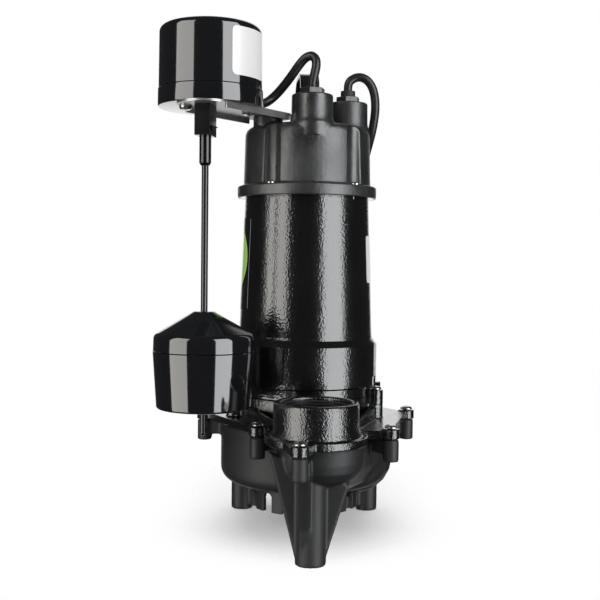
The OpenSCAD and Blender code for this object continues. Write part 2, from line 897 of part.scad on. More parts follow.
module stator_windings() {
    color([0.72, 0.38, 0.16])
        placed()
            for (z = [core_z - winding_h, core_z + core_h])
                translate([0, 0, z])
                    rotate_extrude($fn = bore_fn)
                        translate([rotor_r + 4, 0])
                            polygon([
                            [0, 3], [3, 0], [15, 0], [18, 3],
                            [18, winding_h - 3], [15, winding_h], [3, winding_h], [0, winding_h - 3]
                        ]);
}

module bearing_bracket() {
    color([0.5, 0.51, 0.53])
        placed()
            translate([0, 0, bracket_z])
                difference() {
                    union() {
                        cylinder(h = 7, r = housing_bore_r - 0.2, $fn = bore_fn);
                        cylinder(h = hub_h, r = upper_bearing_r + 5, $fn = bore_fn);
                    }
                    translate([0, 0, -1])
                        cylinder(h = hub_h + 2, r = shaft_r + 2, $fn = bore_fn);
                    translate([0, 0, hub_h - bearing_h])
                        cylinder(h = bearing_h + 1, r = upper_bearing_r + 0.05, $fn = bore_fn);
                    for (i = [0 : 3])
                        rotate([0, 0, 45 + 90 * i])
                            translate([34, 0, -1])
                                cylinder(h = 10, r = 9, $fn = 48);
                }
}

// A ball bearing with a groove between its rings on each face
module ball_bearing(outer) {
    mid = (outer + shaft_r) / 2;
    rotate_extrude($fn = bore_fn)
        polygon([
            [shaft_r + bearing_gap, 0], [mid - 1.6, 0], [mid - 1.6, 1.2], [mid + 1.6, 1.2], [mid + 1.6, 0],
            [outer, 0], [outer, bearing_h], [mid + 1.6, bearing_h], [mid + 1.6, bearing_h - 1.2],
            [mid - 1.6, bearing_h - 1.2], [mid - 1.6, bearing_h], [shaft_r + bearing_gap, bearing_h]
        ]);
}

module upper_bearing() {
    color([0.7, 0.71, 0.73])
        placed()
            translate([0, 0, bracket_z + hub_h - bearing_h])
                ball_bearing(upper_bearing_r);
}

module lower_bearing() {
    color([0.7, 0.71, 0.73])
        placed()
            translate([0, 0, lower_bearing_z])
                ball_bearing(lower_bearing_r);
}

module seal_seat() {
    color([0.85, 0.85, 0.82])
        placed()
            translate([0, 0, cast_z + 5.4])
                tube(seal_r - 0.05, shaft_r + 1.2, 5);
}

// The rotor body
module motor_shaft() {
    color([0.68, 0.69, 0.71])
        placed()
            rotate_extrude($fn = bore_fn)
                polygon([
                    [0, shaft_low_z], [shaft_r - 1.8, shaft_low_z], [shaft_r - 1.4, shaft_low_z + 1],
                    [shaft_r - 1.4, vane_low_z + 5], [shaft_r, vane_low_z + 5],
                    [shaft_r, shaft_top_z - 1], [shaft_r - 1, shaft_top_z], [0, shaft_top_z]
                ]);
}

module rotor_core() {
    color([0.5, 0.51, 0.52])
        placed()
            translate([0, 0, core_z - 2]) {
                tube(rotor_r, shaft_r, core_h + 4);
                for (z = [-5, core_h + 4])
                    translate([0, 0, z])
                        tube(rotor_r - 3, rotor_r - 11, 5);
            }
}

module seal_head() {
    color([0.3, 0.3, 0.32])
        placed()
            translate([0, 0, impeller_top_z]) {
                tube(seal_r - 3, shaft_r, 3.5);
                translate([0, 0, 3.5])
                    tube(seal_r - 5, shaft_r, 6);
                translate([0, 0, 9.5])
                    tube(seal_r - 2.5, shaft_r, 3.6);
            }
}

// One curved vane, swept back from the hub out to the rim
function vane_point(i, side) =
    let (r = 9 + (impeller_r - 10) * i / 8, turn = -62 * i / 8)
    [r * cos(turn) - side * sin(turn), r * sin(turn) + side * cos(turn)];

module vane() {
    linear_extrude(vane_h + 1)
        polygon(concat(
            [for (i = [0 : 8]) vane_point(i, vane_t / 2)],
            [for (i = [8 : -1 : 0]) vane_point(i, -vane_t / 2)]
        ));
}

module impeller() {
    hub_r = shaft_r + 5;
    color([0.12, 0.12, 0.125])
        placed()
            translate([0, 0, vane_low_z])
                difference() {
                    union() {
                        cylinder(h = impeller_top_z - vane_low_z, r1 = hub_r - 2, r2 = hub_r + 2, $fn = bore_fn);
                        translate([0, 0, vane_h])
                            cylinder(h = impeller_top_z - plate_low_z, r = impeller_r, $fn = bore_fn);
                        for (i = [0 : vane_count - 1])
                            rotate([0, 0, i * 360 / vane_count])
                                vane();
                    }
                    translate([0, 0, 5])
                        cylinder(h = 60, r = shaft_r, $fn = bore_fn);
                    translate([0, 0, -1])
                        cylinder(h = 10, r = shaft_r - 1.4, $fn = bore_fn);
                }
}

module impeller_nut() {
    color([0.7, 0.7, 0.68])
        placed()
            translate([0, 0, vane_low_z - 5])
                difference() {
                    hex_prism(13, 5);
                    translate([0, 0, -1])
                        cylinder(h = 8, r = shaft_r - 1.4, $fn = 48);
                }
}

// The float switch: bracket, foot, case and the guide of its rod
module arm_frame() {
    run = pad - rod_at;
    translate([rod_at.x, rod_at.y, sheet_z])
        rotate([0, 0, atan2(run.y, run.x)])
            children();
}

module switch_bracket() {
    arm = norm(pad - rod_at);
    color([0.3, 0.3, 0.31])
        placed()
            difference() {
                arm_frame() {
                    for (x = [0, arm])
                        translate([x, 0, 0])
                            cylinder(h = sheet_t, r = arm_half_w, $fn = bore_fn);
                    translate([0, -arm_half_w, 0])
                        cube([arm, 2 * arm_half_w, sheet_t]);
                    for (s = [-1, 1])
                        translate([0, s > 0 ? arm_half_w - sheet_t : -arm_half_w, -arm_flange_h])
                            cube([arm, sheet_t, arm_flange_h + 1]);
                }
                translate([pad.x, pad.y, sheet_z - 1])
                    cylinder(h = 10, r = 3.2, $fn = 32);
                translate([rod_at.x, rod_at.y, sheet_z - 1])
                    cylinder(h = 10, r = spigot_r + 0.2, $fn = 48);
                for (p = switch_screw_at)
                    translate([p.x, p.y, sheet_z - 1])
                        cylinder(h = 10, r = 2.2, $fn = 32);
                at_turret(0)
                    translate([0, 0, sheet_z - 20])
                        cylinder(h = 40, r = turret_r + 0.6, $fn = bore_fn);
            }
}

module bracket_screw() {
    color([0.6, 0.6, 0.62])
        placed()
            translate([pad.x, pad.y, base_z])
                pan_screw(pad_h + 4, 6, 3);
}

module switch_base() {
    color([0.04, 0.04, 0.045])
        placed()
            difference() {
                translate([can_at.x, can_at.y, base_z])
                    rotate_extrude($fn = bore_fn)
                        polygon([
                            [0, 0], [base_r - 0.8, 0], [base_r, 0.8], [base_r, base_h - 0.6],
                            [base_r - 0.5, base_h], [base_r - case_wall - 1, base_h],
                            [base_r - case_wall - 1, 4], [0, 4]
                        ]);
                translate([rod_at.x, rod_at.y, base_z - 1])
                    cylinder(h = 10, r = spigot_r + 0.2, $fn = 48);
                for (p = switch_screw_at)
                    translate([p.x, p.y, base_z - 1])
                        cylinder(h = 10, r = 2.1, $fn = 32);
                lead_port()
                    translate([0, 0, -8])
                        cylinder(h = 20, r = cord_d / 2 + 0.6, $fn = 32);
            }
}

module switch_case() {
    round_r = 6;
    top = case_z + case_h;
    low_r = base_r - 0.6;
    top_r = base_r - 1;
    color([0.03, 0.03, 0.035])
        placed()
            translate([can_at.x, can_at.y, 0])
                rotate_extrude($fn = bore_fn)
                    polygon(concat(
                        [[low_r - case_wall, case_z], [low_r, case_z]],
                        [for (a = [0 : 10 : 90])
                            [top_r - round_r + round_r * cos(a), top - round_r + round_r * sin(a)]],
                        [[0, top], [0, top - case_wall], [top_r - round_r, top - case_wall],
                         [top_r - case_wall, top - round_r]]
                    ));
}

module switch_screws() {
    color([0.72, 0.72, 0.74])
        placed()
            for (p = switch_screw_at)
                translate([p.x, p.y, sheet_z])
                    mirror([0, 0, 1])
                        pan_screw(sheet_t + 6, 5.4, 2);
}

module rod_guide() {
    color([0.05, 0.05, 0.055])
        placed()
            translate([rod_at.x, rod_at.y, guide_z])
                difference() {
                    union() {
                        rotate([0, 0, guide_turn])
                            translate([-guide_w / 2, -guide_d / 2, 0])
                                cube([guide_w, guide_d, guide_h]);
                        cylinder(h = guide_h + sheet_t + 7, r = spigot_r, $fn = 48);
                    }
                    translate([0, 0, -1])
                        cylinder(h = guide_h + 20, r = guide_bore_r, $fn = 48);
                }
}

// The barbed pin on the guide's right side
module guide_pin() {
    color([0.06, 0.06, 0.06])
        placed()
            translate([rod_at.x, rod_at.y, guide_z + 6.5])
                rotate([0, 0, guide_turn])
                    translate([guide_w / 2, -4, 0])
                        rotate([0, 90, 0])
                            rotate_extrude($fn = 24)
                                polygon([[0, 0], [1.7, 0], [1.7, 0.8], [0.7, 1.6], [1.1, 3], [0, 5.4]]);
}

// The place on the foot's wall where the lead goes in
module lead_port() {
    translate([can_at.x, can_at.y, base_z + base_h - 5])
        rotate([0, 0, port_angle])
            translate([base_r, 0, 0])
                rotate([0, 90, 0])
                    children();
}

module case_grommet() {
    color([0.07, 0.07, 0.07])
        placed()
            lead_port()
                translate([0, 0, -4]) {
                    cylinder(h = 4, r = cord_d / 2 + 0.5, $fn = 48);
                    translate([0, 0, 4])
                        cylinder(h = port_proud, r1 = 4.9, r2 = 4.4, $fn = 48);
                }
}

module microswitch() {
    color([0.75, 0.2, 0.12])
        placed()
            translate([rod_at.x, rod_at.y + arm_pivot_back, base_z + 4])
                difference() {
                    union() {
                        translate([-9, -11, 0])
                            cube([18, 30, micro_h - 4]);
                        for (s = [-1, 1])
                            translate([s > 0 ? arm_w / 2 + 0.5 : -arm_w / 2 - 3, -3.5, 0])
                                cube([2.5, 7, arm_z - base_z - 4 + arm_t + 2]);
                    }
                    translate([-20, 0, arm_z - base_z - 4 + arm_t / 2])
                        rotate([0, 90, 0])
                            cylinder(h = 40, r = pin_r, $fn = 32);
                }
}

module arm_pin() {
    color([0.7, 0.7, 0.72])
        placed()
            translate([rod_at.x - arm_w / 2 - 3, rod_at.y + arm_pivot_back, arm_z + arm_t / 2])
                rotate([0, 90, 0])
                    cylinder(h = arm_w + 6, r = pin_r - 0.02, $fn = 32);
}

module switch_arm() {
    color([0.6, 0.62, 0.65])
        placed()
            translate([rod_at.x, rod_at.y, arm_z])
                difference() {
                    union() {
                        translate([-arm_w / 2, -4, 0])
                            cube([arm_w, arm_pivot_back + 6, arm_t]);
                        translate([-arm_w / 2, arm_pivot_back, arm_t / 2])
                            rotate([0, 90, 0])
                                cylinder(h = arm_w, r = 2.8, $fn = 32);
                    }
                    translate([-arm_w, arm_pivot_back, arm_t / 2])
                        rotate([0, 90, 0])
                            cylinder(h = 2 * arm_w, r = pin_r + 0.1, $fn = 32);
                }
}

// The rod and what is fixed to it
module at_rod(z) {
    placed()
        translate([rod_at.x, rod_at.y, z])
            children();
}

module float_rod() {
    color([0.09, 0.09, 0.1])
        at_rod(rod_low_z)
            rotate_extrude($fn = 48)
                polygon(concat(
                    [for (a = [-90 : 15 : 0]) [rod_r * cos(a), rod_r + rod_r * sin(a)]],
                    [[rod_r, rod_len - 0.6], [rod_r - 0.6, rod_len], [0, rod_len]]
                ));
}

module rod_sleeve() {
    color([0.05, 0.05, 0.05])
        at_rod(sleeve_low_z)
            rotate_extrude($fn = 48)
                polygon([
                    [rod_r, 0], [sleeve_r - 1.4, 0], [sleeve_r, 2.2], [sleeve_r, sleeve_len - 0.5],
                    [sleeve_r - 0.5, sleeve_len], [rod_r, sleeve_len]
                ]);
}

module rod_stop() {
    color([0.2, 0.2, 0.2])
        at_rod(stop_z)
            tube(stop_r, rod_r, stop_t);
}

// The two halves of the float
module float_lower() {
    bore = rod_r + 0.4;
    color([0.03, 0.03, 0.035])
        at_rod(float_z)
            rotate_extrude($fn = bore_fn)
                polygon([
                    [recess_r, 0], [float_low_r - 1.5, 0], [float_low_r - 0.4, 0.5], [float_low_r, 1.6],
                    [float_r, seam_h - seat_gap / 2], [bore, seam_h - seat_gap / 2], [bore, recess_h],
                    [recess_r, recess_h]
                ]);
}

module float_upper() {
    bore = rod_r + 0.4;
    neck = 8.3;
    shoulder = 17.6;
    color([0.03, 0.03, 0.035])
        at_rod(float_z)
            rotate_extrude($fn = bore_fn)
                polygon([
                    [bore, seam_h + seat_gap / 2], [float_r - 0.3, seam_h + seat_gap / 2],
                    [float_r - 0.5, float_h - shoulder - 5.4], [float_r - 1.1, float_h - shoulder - 2.8],
                    [float_r - 2.8, float_h - shoulder - 0.4], [float_r - 6, float_h - shoulder + 1.4],
                    [neck + 1, float_h - 0.4], [neck, float_h], [bore, float_h]
                ]);
}

// Cords: a tube swept along a route, ring by ring
function unit(v) = v / norm(v);
function heading(route, i) = unit(
    route[min(i + 1, len(route) - 1)] - route[max(i - 1, 0)]
);
function ring(route, i, radius, sides, side) =
    let (t = heading(route, i), u = unit(cross(t, side)), v = cross(t, u))
    [for (k = [0 : sides - 1])
        route[i] + radius * (cos(360 * k / sides) * u + sin(360 * k / sides) * v)];

module cord(route, side) {
    sides = 10;
    rings = len(route);
    points = [for (i = [0 : rings - 1]) each ring(route, i, cord_d / 2, sides, side)];
    walls = [for (i = [0 : rings - 2]) for (k = [0 : sides - 1])
        let (a = i * sides + k, b = i * sides + (k + 1) % sides) [a, b, b + sides, a + sides]];
    start = [[for (k = [sides - 1 : -1 : 0]) k]];
    end = [[for (k = [0 : sides - 1]) (rings - 1) * sides + k]];
    polyhedron(points = points, faces = concat(start, walls, end), convexity = 6);
}

module switch_lead() {
    color([0.06, 0.06, 0.06])
        placed()
            cord(lead_route, [0, 1, 0]);
}

module power_cord() {
    color([0.06, 0.06, 0.06])
        placed()
            cord(cord_route, [1, 1, 0]);
}

module power_cord_coil() {
    color([0.06, 0.06, 0.06])
        placed()
            translate([coil_at.x, coil_at.y, coil_low_z])
                tube(coil_outer_r, coil_inner_r, coil_h);
}

module cord_tie() {
    near = sqrt(coil_inner_r * coil_inner_r - tie_w * tie_w / 4) - seat_gap;
    wide = coil_outer_r + seat_gap - near;
    color([0.1, 0.1, 0.1])
        placed()
            translate([coil_at.x, coil_at.y, 0])
                rotate([0, 0, 90])
                    translate([near - tie_t, -tie_w / 2, 0])
                        difference() {
                            cube([wide + 2 * tie_t, tie_w, coil_low_z + coil_h + seat_gap + tie_t]);
                            translate([tie_t, -1, tie_t])
                                cube([wide, tie_w + 2, coil_low_z - tie_t + coil_h + seat_gap]);
                        }
}

// The moulded plug, lying on the coil, and its three blades
module plug_frame() {
    placed()
        translate([coil_at.x - 8, coil_at.y - coil_inner_r - 12, plug_z])
            children();
}

module plug_body() {
    color([0.07, 0.07, 0.07])
        plug_frame()
            difference() {
                hull() {
                    translate([0, -13, 4])
                        cube([20, 26, 18]);
                    translate([3, -15, 8])
                        cube([17, 30, 10]);
                    translate([-18, -5, 7])
                        cube([4, 10, 12]);
                    translate([8, -11, 0])
                        cube([12, 22, 25]);
                }
                translate([30, 0, 13])
                    cube([20, 60, 60], center = true);
            }
}

module plug_blades() {
    color([0.8, 0.72, 0.45])
        plug_frame() {
            for (s = [-6.35, 6.35])
                translate([20, s - 0.75, 10.5])
                    cube([16, 1.5, 6.4]);
            translate([20, 0, 5])
                rotate([0, 90, 0])
                    cylinder(h = 19, r = 2.4, $fn = 32);
        }
}

volute();
strainer();
volute_gasket();
discharge_casting();
volute_screws();
motor_housing();
housing_screws();
housing_o_ring();
top_cover();
cover_screws();
cover_o_ring();
switch_gland_nut();
switch_grommet();
power_gland_nut();
power_grommet();
lift_handle();
handle_screws();
run_capacitor();
stator_core();
stator_windings();
bearing_bracket();
upper_bearing();
lower_bearing();
seal_seat();
motor_shaft();
rotor_core();
seal_head();
impeller();
impeller_nut();
switch_bracket();
bracket_screw();
switch_base();
switch_case();
switch_screws();
rod_guide();
guide_pin();
case_grommet();
microswitch();
arm_pin();
switch_arm();
float_rod();
rod_sleeve();
rod_stop();
float_lower();
float_upper();
switch_lead();
power_cord();
power_cord_coil();
cord_tie();
plug_body();
plug_blades();
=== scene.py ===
"""Dresses a packed sump pump with a vertical float switch.

Castings get soft fillets and a pebbled coat, and the switch, float, cords, labels and studio are added.
"""

import json
import math

import bmesh
import bpy
from bpy.props import FloatProperty, FloatVectorProperty, IntProperty, PointerProperty
from mathutils import Matrix, Vector


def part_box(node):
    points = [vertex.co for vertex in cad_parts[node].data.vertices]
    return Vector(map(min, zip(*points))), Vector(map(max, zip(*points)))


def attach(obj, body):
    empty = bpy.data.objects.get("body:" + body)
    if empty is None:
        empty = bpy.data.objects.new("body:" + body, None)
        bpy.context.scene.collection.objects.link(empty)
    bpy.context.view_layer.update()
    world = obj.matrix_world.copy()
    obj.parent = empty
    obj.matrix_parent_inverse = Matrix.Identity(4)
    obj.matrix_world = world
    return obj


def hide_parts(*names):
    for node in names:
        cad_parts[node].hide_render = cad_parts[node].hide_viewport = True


bl_info = {
    "name": "Sump pump dresser",
    "version": (1, 0, 0),
    "blender": (4, 5, 0),
    "location": "View3D > Sidebar > Sump pump",
    "description": "Finishes the packed sump pump and sets its studio",
    "category": "Object",
}

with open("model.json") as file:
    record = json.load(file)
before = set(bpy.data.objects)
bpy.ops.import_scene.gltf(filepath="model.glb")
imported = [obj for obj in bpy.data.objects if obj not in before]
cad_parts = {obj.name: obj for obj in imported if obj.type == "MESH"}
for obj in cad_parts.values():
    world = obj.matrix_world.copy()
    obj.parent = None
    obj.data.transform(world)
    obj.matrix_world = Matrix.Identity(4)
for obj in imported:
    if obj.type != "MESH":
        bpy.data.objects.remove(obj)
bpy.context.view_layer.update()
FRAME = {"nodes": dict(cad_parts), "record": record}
NODES = FRAME["nodes"]
MM = 0.001
# Points closer than this, in metres, are one
MERGE = 1e-6
TURNED_MERGE = 5e-6
# A turned profile's radius on its axis, before its points there are merged
TIP_R = 1e-5

# The turned pieces' boxes, and the axes of the motor, the float rod and the can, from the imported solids
CASE_LOW, CASE_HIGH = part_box("switch_case")
BASE_LOW, BASE_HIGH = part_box("switch_base")
UPPER_LOW, UPPER_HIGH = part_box("float_upper")
LOWER_LOW, LOWER_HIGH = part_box("float_lower")


def upright_axis(node):
    """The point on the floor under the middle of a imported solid."""
    low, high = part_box(node)
    return Vector(((low[0] + high[0]) / 2, (low[1] + high[1]) / 2, 0))


AXIS = upright_axis("motor_shaft")
ROD = upright_axis("float_rod")
CAN = upright_axis("switch_base")

# Routes of the cords, in millimetres from the motor's axis, the same as the solids follow
LEAD_ROUTE = [
    (3.9, -37.1, 391.7), (3.9, -37.1, 395.7), (4.6, -36.8, 400), (5.8, -36.4, 405.4), (6.9, -35.5, 411.4),
    (6.3, -34, 417), (3, -32, 420.4), (-2, -30, 419.4), (-7.5, -28, 414), (-13.5, -25.5, 406),
    (-20, -22.5, 397.8), (-26.5, -19.8, 390.6), (-32.6, -19.4, 384.8), (-37.6, -22.4, 381),
    (-41.7, -25.8, 379.4), (-44.7, -28.4, 379.4),
]
CORD_ROUTE = [
    (36.7, 6.8, 396.7), (36.7, 6.8, 400.7), (37.5, 6.8, 404.5), (40, 6.9, 407.4), (44, 7, 409.4),
    (48.8, 7, 409.6), (53.6, 7.2, 407.4), (57.6, 7.8, 403), (60.3, 8.8, 397), (61.8, 10.2, 389.6),
    (62.2, 12.2, 381), (61.4, 15.4, 371), (59.6, 20, 360), (57.2, 26.6, 349.5), (54.6, 34, 338),
    (52.8, 40, 325), (51.8, 45, 311), (51.3, 48, 296), (51, 50, 277), (51, 52, 254), (51, 54, 230),
    (51, 57, 206), (51, 61, 182), (50.8, 68, 158), (50.6, 78, 136), (50.4, 89, 114), (50, 98, 92),
    (49.5, 105, 70), (50, 112, 48), (52, 121, 29), (56, 133, 15), (60.6, 148, 7.6), (64, 164, 5.7),
    (65.2, 180, 5.5),
]
# The tapered barrel: radius at the taper's foot, the foot's height and the taper
BARREL_R, BARREL_Z, BARREL_TAPER = 0.0609, 0.1744, 0.03734
# The collar's thread: how far its crest stands in and its root sinks in, half the width of each, the depth
# of its first turn, the length it leaves free and its steps a turn
THREAD_CREST, THREAD_ROOT = 0.0015, 0.0003
CREST_HALF, ROOT_HALF = 0.0002, 0.00108
THREAD_DOWN = 0.0012
THREAD_FREE = 0.001
THREAD_STEPS = 96
# The switch's foot: bore, lower edge, upper edge, wall and floor, and the corner between these two
FOOT_BORE = 0.0152
FOOT_EDGE, FOOT_LIP = 0.0012, 0.0008
FOOT_WALL, FOOT_FLOOR = 0.0036, 0.0034
FOOT_CORNER_IN, FOOT_CORNER_UP = 0.0046, 0.004
# The switch's case: wall, rounded shoulder and the lip at its foot
CASE_WALL = 0.0026
CASE_SHOULDER = 0.0062
CASE_LIP = 0.0004
# The float: bore, pocket underneath, taper and lower edge
FLOAT_BORE = 0.00325
POCKET_R, POCKET_DEEP = 0.008, 0.0075
FLOAT_TAPER = 0.003
FLOAT_EDGE = 0.0022
# The rims where its halves meet, as steps in from the side and away from the seam
LOWER_RIM = ((0.0001, 0.0012), (0.00003, 0.0003), (0.0003, 0))
UPPER_RIM = ((0.0003, 0), (0, 0.0003), (0, 0.001))
# Its cone's height, the side wall's top, the round shoulder over it, and the tip as radii and steps down
FLOAT_CONE = 0.0176
WALL_TOP_IN, WALL_TOP_DOWN = 0.0003, 0.0056
SHOULDER_IN, SHOULDER_DOWN, SHOULDER_R = 0.0063, 0.0052, 0.006
FLOAT_TIP = ((0.0093, 0.0005), (0.0086, 0.0001), (0.008, 0))
# The label on the barrel's left: its size and foot, the plain disc on it and the disc's rise above its middle
SIDE_LABEL_WIDE = 0.066
SIDE_LABEL_TALL = 0.082
SIDE_LABEL_LOW = 0.197
DISC_R = 0.028
DISC_RISE = 0.005
# Its side lines, painted highlights of the label's side edges: both their edges, as steps in from the label's
# side, and how far they stop short
EDGE_HIGHLIGHT_OUT, EDGE_HIGHLIGHT_IN = 0.0006, 0.0013
EDGE_HIGHLIGHT_SHORT = 0.0014
# The plate on the barrel's right and the can's label: heights, and angles in degrees
PLATE_LOW, PLATE_HIGH = 0.222, 0.264
PLATE_ANGLES = (-23, 24)
CAN_LABEL_ANGLES = (-61, -8)
CAN_LABEL_FOOT, CAN_LABEL_TOP = 0.0065, 0.0068
CAN_TAPER = 0.0075
# Every label stands this far off its wall, is this thick and bends in this many steps
LABEL_LIFT = 0.0001
LABEL_THICK = 0.00025
LABEL_STEPS = 40
# The coil behind the pump: its centre, the radii of its turns, its lowest turn and the rise of a layer
COIL_AT = (12, 196)
COIL_RADII = (52, 44, 36)
COIL_LOW = 5.5
COIL_LAYER = 8.05
# Degrees from one point of a turn to the next, and how far the turns are turned back
COIL_STEP = 10
COIL_TURN_BACK = 15
# A turn's radius changes over its first degrees, its height over as many from the later angle on
COIL_EASE = 60
COIL_CLIMB = 290
COIL_END = 100
# The cord's rise from the coil to the plug: angle, radius past the last turn's and height above its layer
COIL_TAIL = (
    (100, 0, 1), (115, 0, 4), (130, 1.5, 7.4), (145, 5, 10), (160, 9, 12), (175, 13, 13.4), (190, 17, 14.6),
    (205, 20, 15.8), (219, 20.5, 16.8), (230, 19, 17.4),
)
COIL_TAIL_BACK = 8
# Where the cord meets the plug: height above the plug's foot, and a point before and one inside its end
PLUG_ENTRY = 13 * MM
PLUG_BEFORE = Vector((-0.006, -0.0012, -0.0006))
PLUG_INSIDE = Vector((0.003, 0, 0))
# Sides that meet at more degrees than this get a bevel
BEVEL_ANGLE = 32
# Grain: the fine noise against the big one, the slow mottle, and the dust's smears and specks
FINE_TIMES = 4.1
MOTTLE_SCALE = 38
SMEAR_SCALE = 60
SPECK_SCALE = 1400
SPECK_LEVEL, SPECK_GAIN = 0.64, 7.0
DUST_COLOUR = (0.35, 0.35, 0.34, 1)
# The rolled sheet's grain, drawn out along X
ROLLED_STRETCH = (14, 700, 700)
ROLLED_STRENGTH, ROLLED_DEPTH = 0.55, 0.00018


class PumpSizes(bpy.types.PropertyGroup):
    cord_diameter: FloatProperty(
        name="Cord diameter", description="Outside diameter of both cords",
        default=0.008, min=0.005, max=0.012, unit="LENGTH")
    supply_length: FloatProperty(
        name="Supply cord length", description="Real length of the supply cord",
        default=3.05, min=1.0, max=8.0, unit="LENGTH")
    thread_pitch: FloatProperty(
        name="Thread pitch", description="Pitch of the thread in the discharge collar",
        default=0.0022, min=0.001, max=0.004, unit="LENGTH")
    casting_fillet: FloatProperty(
        name="Casting fillet", description="Size of the rounding in the corners of castings and mouldings",
        default=0.0012, min=0.001, max=0.004, unit="LENGTH")
    turned_sides: IntProperty(
        name="Turned sides", description="Sides of a turned piece", default=128, min=32, max=256)


class PumpColours(bpy.types.PropertyGroup):
    casting: FloatVectorProperty(
        name="Casting", description="Coated casting and motor barrel",
        subtype="COLOR", size=3, min=0, max=1, default=(0.0042, 0.0042, 0.0046))
    moulding: FloatVectorProperty(
        name="Moulding", description="Matte grey mouldings",
        subtype="COLOR", size=3, min=0, max=1, default=(0.019, 0.0193, 0.0202))
    satin: FloatVectorProperty(
        name="Satin casting", description="Volute and its strainer skirt",
        subtype="COLOR", size=3, min=0, max=1, default=(0.0205, 0.021, 0.0222))
    gloss: FloatVectorProperty(
        name="Gloss plastic", description="Switch can and float",
        subtype="COLOR", size=3, min=0, max=1, default=(0.0072, 0.0077, 0.009))
    sheet: FloatVectorProperty(
        name="Sheet", description="Bracket sheet",
        subtype="COLOR", size=3, min=0, max=1, default=(0.33, 0.33, 0.335))
    screw: FloatVectorProperty(
        name="Screw", description="Bright screw heads",
        subtype="COLOR", size=3, min=0, max=1, default=(0.62, 0.62, 0.6))
    rubber: FloatVectorProperty(
        name="Rubber", description="Cord jackets and grommets",
        subtype="COLOR", size=3, min=0, max=1, default=(0.012, 0.012, 0.0125))
    backdrop: FloatVectorProperty(
        name="Backdrop", description="Floor and background",
        subtype="COLOR", size=3, min=0, max=1, default=(0.9, 0.9, 0.9))


def sizes():
    return bpy.context.scene.pump_sizes


def colours():
    return bpy.context.scene.pump_colours


def clear_selection():
    if bpy.context.object and bpy.context.object.mode != "OBJECT":
        bpy.ops.object.mode_set(mode="OBJECT")
    bpy.ops.object.select_all(action="DESELECT")


def take(piece):
    clear_selection()
    piece.select_set(True)
    bpy.context.view_layer.objects.active = piece
    return piece


def edit(piece):
    """Opens a piece's mesh for editing, with all of it selected."""
    take(piece)
    bpy.ops.object.mode_set(mode="EDIT")
    bpy.ops.mesh.select_all(action="SELECT")


def settle(piece, name=None):
    """Moves the piece's place into its mesh, so its object stands at the origin."""
    take(piece)
    bpy.ops.object.transform_apply(location=True, rotation=True, scale=True)
    if name:
        piece.name = name
        piece.data.name = name
    return piece


def apply_modifier(piece, kind, **settings):
    take(piece)
    modifier = piece.modifiers.new(kind.title(), kind)
    for key, value in settings.items():
        setattr(modifier, key, value)
    bpy.ops.object.modifier_apply(modifier=modifier.name)


def smooth(piece, degrees=35):
    take(piece)
    bpy.ops.object.shade_smooth_by_angle(angle=math.radians(degrees))
    return piece


def outward(piece):
    edit(piece)
    bpy.ops.mesh.remove_doubles(threshold=MERGE)
    bpy.ops.mesh.normals_make_consistent(inside=False)
    bpy.ops.object.mode_set(mode="OBJECT")
    return piece


def turned(name, at, profile):
    """A turned piece: a ring drawn out step by step along the profile of (radius, height) pairs."""
    clear_selection()
    radius, height = profile[0]
    start = max(radius, TIP_R)
    bpy.ops.mesh.primitive_circle_add(
        vertices=sizes().turned_sides, radius=start, fill_type="NOTHING", location=(at[0], at[1], height))
    piece = bpy.context.object
    edit(settle(piece, name))
    last_r, last_z = start, height
    if radius == 0:
        bpy.ops.mesh.select_mode(type="VERT")
    for r, z in profile[1:]:
        r = max(r, TIP_R)
        bpy.ops.mesh.extrude_region_move(TRANSFORM_OT_translate={"value": (0, 0, z - last_z)})
        k = r / last_r
        bpy.ops.transform.resize(value=(k, k, 1), center_override=(at[0], at[1], z))
        last_r, last_z = r, z
    bpy.ops.mesh.select_all(action="SELECT")
    bpy.ops.mesh.remove_doubles(threshold=TURNED_MERGE)
    bpy.ops.mesh.normals_make_consistent(inside=False)
    bpy.ops.object.mode_set(mode="OBJECT")
    return smooth(piece)


def arc(cx, cz, r, start, end, steps):
    """Points of a rounded edge for a turned piece's profile."""
    return [
        (cx + r * math.cos(math.radians(start + (end - start) * i / steps)),
         cz + r * math.sin(math.radians(start + (end - start) * i / steps)))
        for i in range(steps + 1)
    ]


def merged_copy(node, name, flatten=False):
    """A solid's mesh as an object of its own, with its triangles merged and, if asked, its flats joined."""
    clear_selection()
    piece = NODES[node].copy()
    piece.data = NODES[node].data.copy()
    for key in list(piece.keys()):
        del piece[key]
    piece.parent = None
    piece.name = name
    piece.data.name = name
    bpy.context.scene.collection.objects.link(piece)
    piece.hide_render = False
    piece.hide_viewport = False
    edit(piece)
    bpy.ops.mesh.remove_doubles(threshold=MERGE)
    if flatten:
        bpy.ops.mesh.dissolve_limited(angle_limit=math.radians(1))
    bpy.ops.object.mode_set(mode="OBJECT")
    return piece


def filleted(node, name, voxel, passes, keep, finish_name):
    """A copy of a solid with every corner softly filleted, as a casting or a moulding has."""
    piece = merged_copy(node, name)
    apply_modifier(piece, "REMESH", mode="VOXEL", voxel_size=voxel, adaptivity=0)
    apply_modifier(piece, "SMOOTH", factor=0.5, iterations=passes)
    apply_modifier(piece, "DECIMATE", ratio=keep)
    take(piece)
    bpy.ops.object.shade_smooth()
    dress(piece, bpy.data.materials[finish_name])
    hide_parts(node)
    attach(piece, "pump")
    return piece


